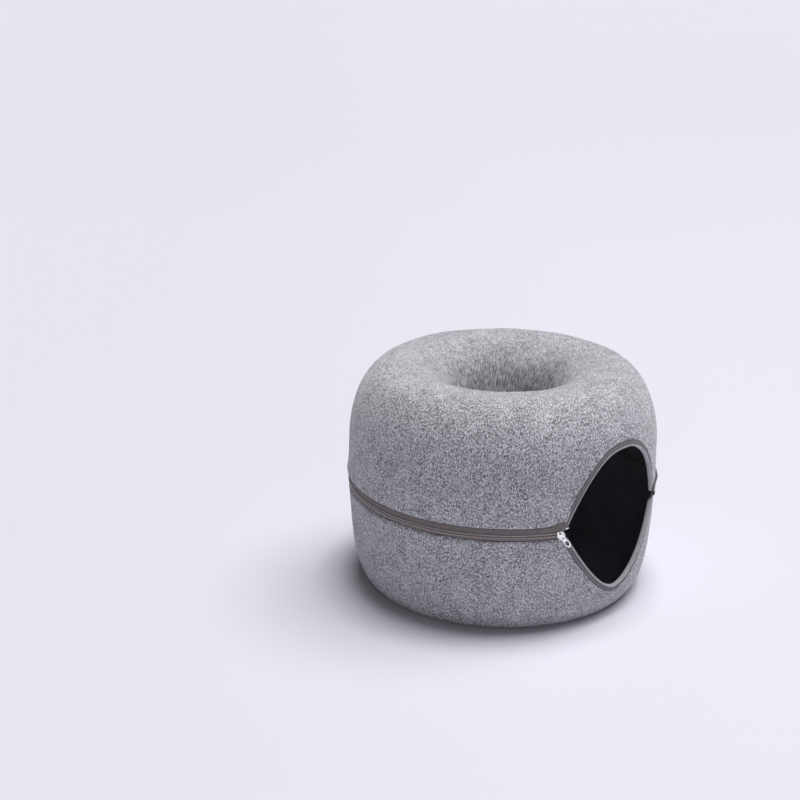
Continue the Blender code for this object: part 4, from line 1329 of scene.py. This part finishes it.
class TUNNEL_OT_zip_ends(bpy.types.Operator):
    """Make the stops, the boxes and the pins of both zips"""
    bl_idname = "tunnel.zip_ends"
    bl_label = "Zip ends"
    grain = 0.09 * mm
    # Outlines across the zip, in millimetres: height above the chain's middle, depth above the base.
    pin_outline = ((0.5, 0.0), (2.5, 0.0), (2.5, 1.6), (0.5, 1.6))
    box_outline = ((-3.6, 0.0), (0.0, 0.0), (0.0, 1.9), (2.5, 1.9), (2.5, 3.0), (-3.0, 3.0), (-3.6, 2.2))
    rib_outline = ((-2.6, 2.9), (0.4, 2.9), (0.4, 3.25), (-2.6, 3.25))
    rib_places = (-2.1, -0.7, 0.7, 2.1)
    rib_half = 0.3 * mm
    base_gap = 0.3 * mm
    clip_half = 1.0 * mm
    long_clip_half = 2.8 * mm
    long_clip_tilt = math.radians(22.0)
    clip_low = -1.0 * mm
    clip_stand = 1.3 * mm
    clip_near = -0.9 * mm
    clip_far = 1.6 * mm
    clip_metal = 1.0 * mm
    clip_corner = 0.5 * mm

    def execute(self, context):
        ring, cloth, zips, look = settings(context)
        metal = shared_finish(plated_metal, "plated_metal", look.metal)
        # The lower stops are the same plated metal, darkened to painted shade.
        stop_in_painted_shade = shared_finish(plated_metal, "tarnished_metal", tint(look.metal, 0.16))
        plastic = shared_finish(moulded_plastic, "moulded_plastic", look.box)
        top = zips.tape_gap + zips.tape_thickness
        for prefix in zip_names:
            run = ZipRun(ring, cloth, zips, prefix)
            half_length = self.clip_half if run.at_hole else self.long_clip_half
            tilt = 0.0 if run.at_hole else self.long_clip_tilt
            upper = self.clip(run, run.upper_stop, 1.0, run.edge(run.upper_stop), top, half_length, tilt)
            lower = self.clip(run, run.lower_stop, -1.0, zips.tape_edge, top, self.clip_half, 0.0)
            for half, mesh, finish in (("upper", upper, metal), ("lower", lower, stop_in_painted_shade)):
                node = prefix + "_zip_" + half + "_stop"
                dress(prefix + "_zip_" + half + "_clip", mesh, half + "_half", finish, 70.0, (node,))
            mouldings = (("upper_half", "pin", self.pin(run, top)), ("lower_half", "box", self.box(run, top)))
            for body, name, mesh in mouldings:
                node = prefix + "_zip_" + name
                dress(prefix + "_moulded_" + name, mesh, body, plastic, 70.0, (node,))
        return {"FINISHED"}

    def across(self, run, top, outline, low, high):
        """Body with an outline across the zip, between two places round the ring by the zip's start."""
        base = top + self.base_gap
        middle = run.start + 0.5 * run.zips.box_length / run.radius
        return block([(y * mm, base + w * mm) for y, w in outline], low, high,
                     lambda y, w, x: run.bend(middle, x, y, w))

    def pin(self, run, top):
        half = 0.5 * run.zips.box_length
        return cast([self.across(run, top, self.pin_outline, -half, half)], self.grain, 2)

    def box(self, run, top):
        half = 0.5 * run.zips.box_length
        works = [self.across(run, top, self.box_outline, -half, half)]
        for place in self.rib_places:
            works.append(self.across(run, top, self.rib_outline, place * mm - self.rib_half,
                                     place * mm + self.rib_half))
        return cast(works, self.grain, 2)

    def clip(self, run, azimuth, sign, edge, top, half_length, tilt):
        """Bent metal clip over the tape's edge, tilted as the edge runs."""
        low = self.clip_low
        high = top + self.clip_stand
        near = self.clip_near
        far = self.clip_far
        metal = self.clip_metal
        corner = self.clip_corner
        outline = [(near + corner, low), (far, low), (far, low + metal), (near + metal, low + metal),
                   (near + metal, high - metal), (far, high - metal), (far, high), (near + corner, high),
                   (near, high - corner), (near, low + corner)]

        def lean(y, w, x):
            return run.bend(azimuth, x * math.cos(tilt) - y * math.sin(tilt),
                            sign * (edge + y * math.cos(tilt) + x * math.sin(tilt)), w)

        return cast([block(outline, -half_length, half_length, lean)], self.grain, 2)


class TUNNEL_OT_studio(bpy.types.Operator):
    """Make the pale floor, the lamps and the camera"""
    bl_idname = "tunnel.studio"
    bl_label = "Studio"
    # Height above the floor, azimuth and width of each lamp, in degrees.
    key_place = (62.0, 71.0, 32.0)
    top_place = (84.0, 92.0, 23.0)
    fill_place = (22.0, -45.0, 50.0)
    floor_sides = 96
    floor_radii = (0.3, 0.6, 1.0, 1.6, 2.5, 4.0, 7.0, 12.0, 20.0, 40.0)
    floor_turn = (0.705, 0.709)
    camera_azimuth = math.radians(-49.1)
    camera_distance = 2.4599
    camera_height = 1.1727
    camera_pitch = 0.3416
    camera_yaw = -0.0683
    camera_roll = 0.0022

    def execute(self, context):
        look = context.scene.tunnel_colours
        lamps = context.scene.tunnel_lamps
        self.floor(look)
        self.world(look, lamps)
        self.lamp("key_lamp", lamps.key, *self.key_place)
        self.lamp("top_lamp", lamps.top, *self.top_place)
        self.lamp("fill_lamp", lamps.fill, *self.fill_place)
        self.camera()
        context.scene.view_settings.view_transform = "Standard"
        return {"FINISHED"}

    def floor(self, look):
        work = bmesh.new()
        sides = self.floor_sides
        rows = [[work.verts.new(ring_point(full_turn * k / sides, radius, 0.0)) for k in range(sides)]
                for radius in self.floor_radii]
        centre = work.verts.new((0.0, 0.0, 0.0))
        for k in range(sides):
            after = (k + 1) % sides
            work.faces.new((centre, rows[0][k], rows[0][after]))
            for inner, outer in zip(rows, rows[1:]):
                work.faces.new((inner[k], outer[k], outer[after], inner[after]))
        bmesh.ops.recalc_face_normals(work, faces=work.faces)
        mesh = bpy.data.meshes.new("studio_floor")
        work.to_mesh(mesh)
        work.free()
        paper = Finish("studio_floor", {"Roughness": 0.75, "Specular IOR Level": 0.15})
        place = paper.in_space()
        cloud = (paper.speckle(place, 0.9, 2.0, 0.5) - 0.5) * 0.3
        parts = paper.node("ShaderNodeSeparateXYZ", {}, {"Vector": place}).outputs
        x, y = Sum(paper, parts["X"]), Sum(paper, parts["Y"])
        across, along = self.floor_turn
        # Painted shade: the floor darkens towards the left.
        rightward = (x * across - y * along + cloud).between(-0.9, 0.6)
        away = (x * along + y * across + cloud).between(0.3, 5.0)
        near = paper.mix(rightward, look.floor_left, look.floor)
        far = paper.mix(rightward, look.far_floor_left, look.far_floor)
        paper.colour(paper.mix(away, near, far))
        mesh.materials.append(paper.material)
        made = bpy.data.objects.new("studio_floor", mesh)
        bpy.context.scene.collection.objects.link(made)

    def world(self, look, lamps):
        world = bpy.data.worlds.new("studio_light")
        bpy.context.scene.world = world
        world.use_nodes = True
        tree = world.node_tree
        tree.nodes.clear()
        light = tree.nodes.new("ShaderNodeBackground")
        light.inputs["Color"].default_value = (1.0, 1.0, 1.0, 1.0)
        light.inputs["Strength"].default_value = lamps.around
        path = tree.nodes.new("ShaderNodeLightPath")
        result = light.outputs[0]
        for ray, colour in (("Is Glossy Ray", (1.0, 1.0, 1.0)), ("Is Camera Ray", look.wall)):
            seen = tree.nodes.new("ShaderNodeBackground")
            seen.inputs["Color"].default_value = (*colour, 1.0)
            choose = tree.nodes.new("ShaderNodeMixShader")
            tree.links.new(path.outputs[ray], choose.inputs[0])
            tree.links.new(result, choose.inputs[1])
            tree.links.new(seen.outputs[0], choose.inputs[2])
            result = choose.outputs[0]
        out = tree.nodes.new("ShaderNodeOutputWorld")
        tree.links.new(result, out.inputs["Surface"])

    def lamp(self, name, strength, height, azimuth, width):
        """A far, broad lamp that shines at the ring's foot."""
        data = bpy.data.lights.new(name, "SUN")
        data.energy = strength
        data.angle = math.radians(width)
        data.color = (1.0, 1.0, 1.0)
        made = bpy.data.objects.new(name, data)
        bpy.context.scene.collection.objects.link(made)
        rise = math.radians(height)
        source = ring_point(math.radians(azimuth), math.cos(rise), math.sin(rise))
        made.rotation_euler = source.to_track_quat("Z", "Y").to_euler()

    def camera(self):
        data = bpy.data.cameras.new("photo_camera")
        data.sensor_width = 36.0
        data.lens = 72.0
        data.clip_end = 200.0
        made = bpy.data.objects.new("photo_camera", data)
        bpy.context.scene.collection.objects.link(made)
        turn = Matrix.Rotation(self.camera_azimuth, 3, "Z")
        pitch = self.camera_pitch
        yaw = self.camera_yaw
        ahead = Vector((math.sin(yaw) * math.cos(pitch), math.cos(yaw) * math.cos(pitch), -math.sin(pitch)))
        forward = turn @ ahead
        right = turn @ Vector((math.cos(yaw), -math.sin(yaw), 0.0))
        up = right.cross(forward)
        facing = Matrix((right, up, -forward)).transposed() @ Matrix.Rotation(self.camera_roll, 3, "Z")
        spot = ring_point(self.camera_azimuth, self.camera_distance, self.camera_height)
        made.matrix_world = Matrix.Translation(spot) @ facing.to_4x4()
        bpy.context.scene.camera = made


class TUNNEL_PT_pieces(bpy.types.Panel):
    """Buttons for every piece, and their settings"""
    bl_idname = "TUNNEL_PT_pieces"
    bl_label = "Donut Cat Tunnel"
    bl_space_type = "VIEW_3D"
    bl_region_type = "UI"
    bl_category = "Cat Tunnel"

    def draw(self, context):
        for operator in operators:
            self.layout.operator(operator.bl_idname)
        for name, group in setting_groups:
            part = self.layout.box()
            part.label(text=name.replace("_", " "))
            for key in group.__annotations__:
                part.prop(getattr(context.scene, name), key)


operators = (TUNNEL_OT_felt_shells, TUNNEL_OT_linings, TUNNEL_OT_door_bindings, TUNNEL_OT_zip_tapes,
             TUNNEL_OT_zip_coils, TUNNEL_OT_sliders, TUNNEL_OT_pulls, TUNNEL_OT_zip_ends, TUNNEL_OT_studio)


def settings(context):
    """The ring with its sizes, the cloth's, the zips' and the colours."""
    scene = context.scene
    return Ring(scene.tunnel_ring), scene.tunnel_cloth, scene.tunnel_zip, scene.tunnel_colours


def register():
    for name, group in setting_groups:
        bpy.utils.register_class(group)
        setattr(bpy.types.Scene, name, bpy.props.PointerProperty(type=group))
    for kind in operators + (TUNNEL_PT_pieces,):
        bpy.utils.register_class(kind)


def unregister():
    for kind in reversed(operators + (TUNNEL_PT_pieces,)):
        bpy.utils.unregister_class(kind)
    for name, group in reversed(setting_groups):
        delattr(bpy.types.Scene, name)
        bpy.utils.unregister_class(group)


def main():
    register()
    bpy.ops.tunnel.felt_shells()
    bpy.ops.tunnel.linings()
    bpy.ops.tunnel.door_bindings()
    bpy.ops.tunnel.zip_tapes()
    bpy.ops.tunnel.zip_coils()
    bpy.ops.tunnel.sliders()
    bpy.ops.tunnel.pulls()
    bpy.ops.tunnel.zip_ends()
    bpy.ops.tunnel.studio()


if __name__ == "__main__":
    main()
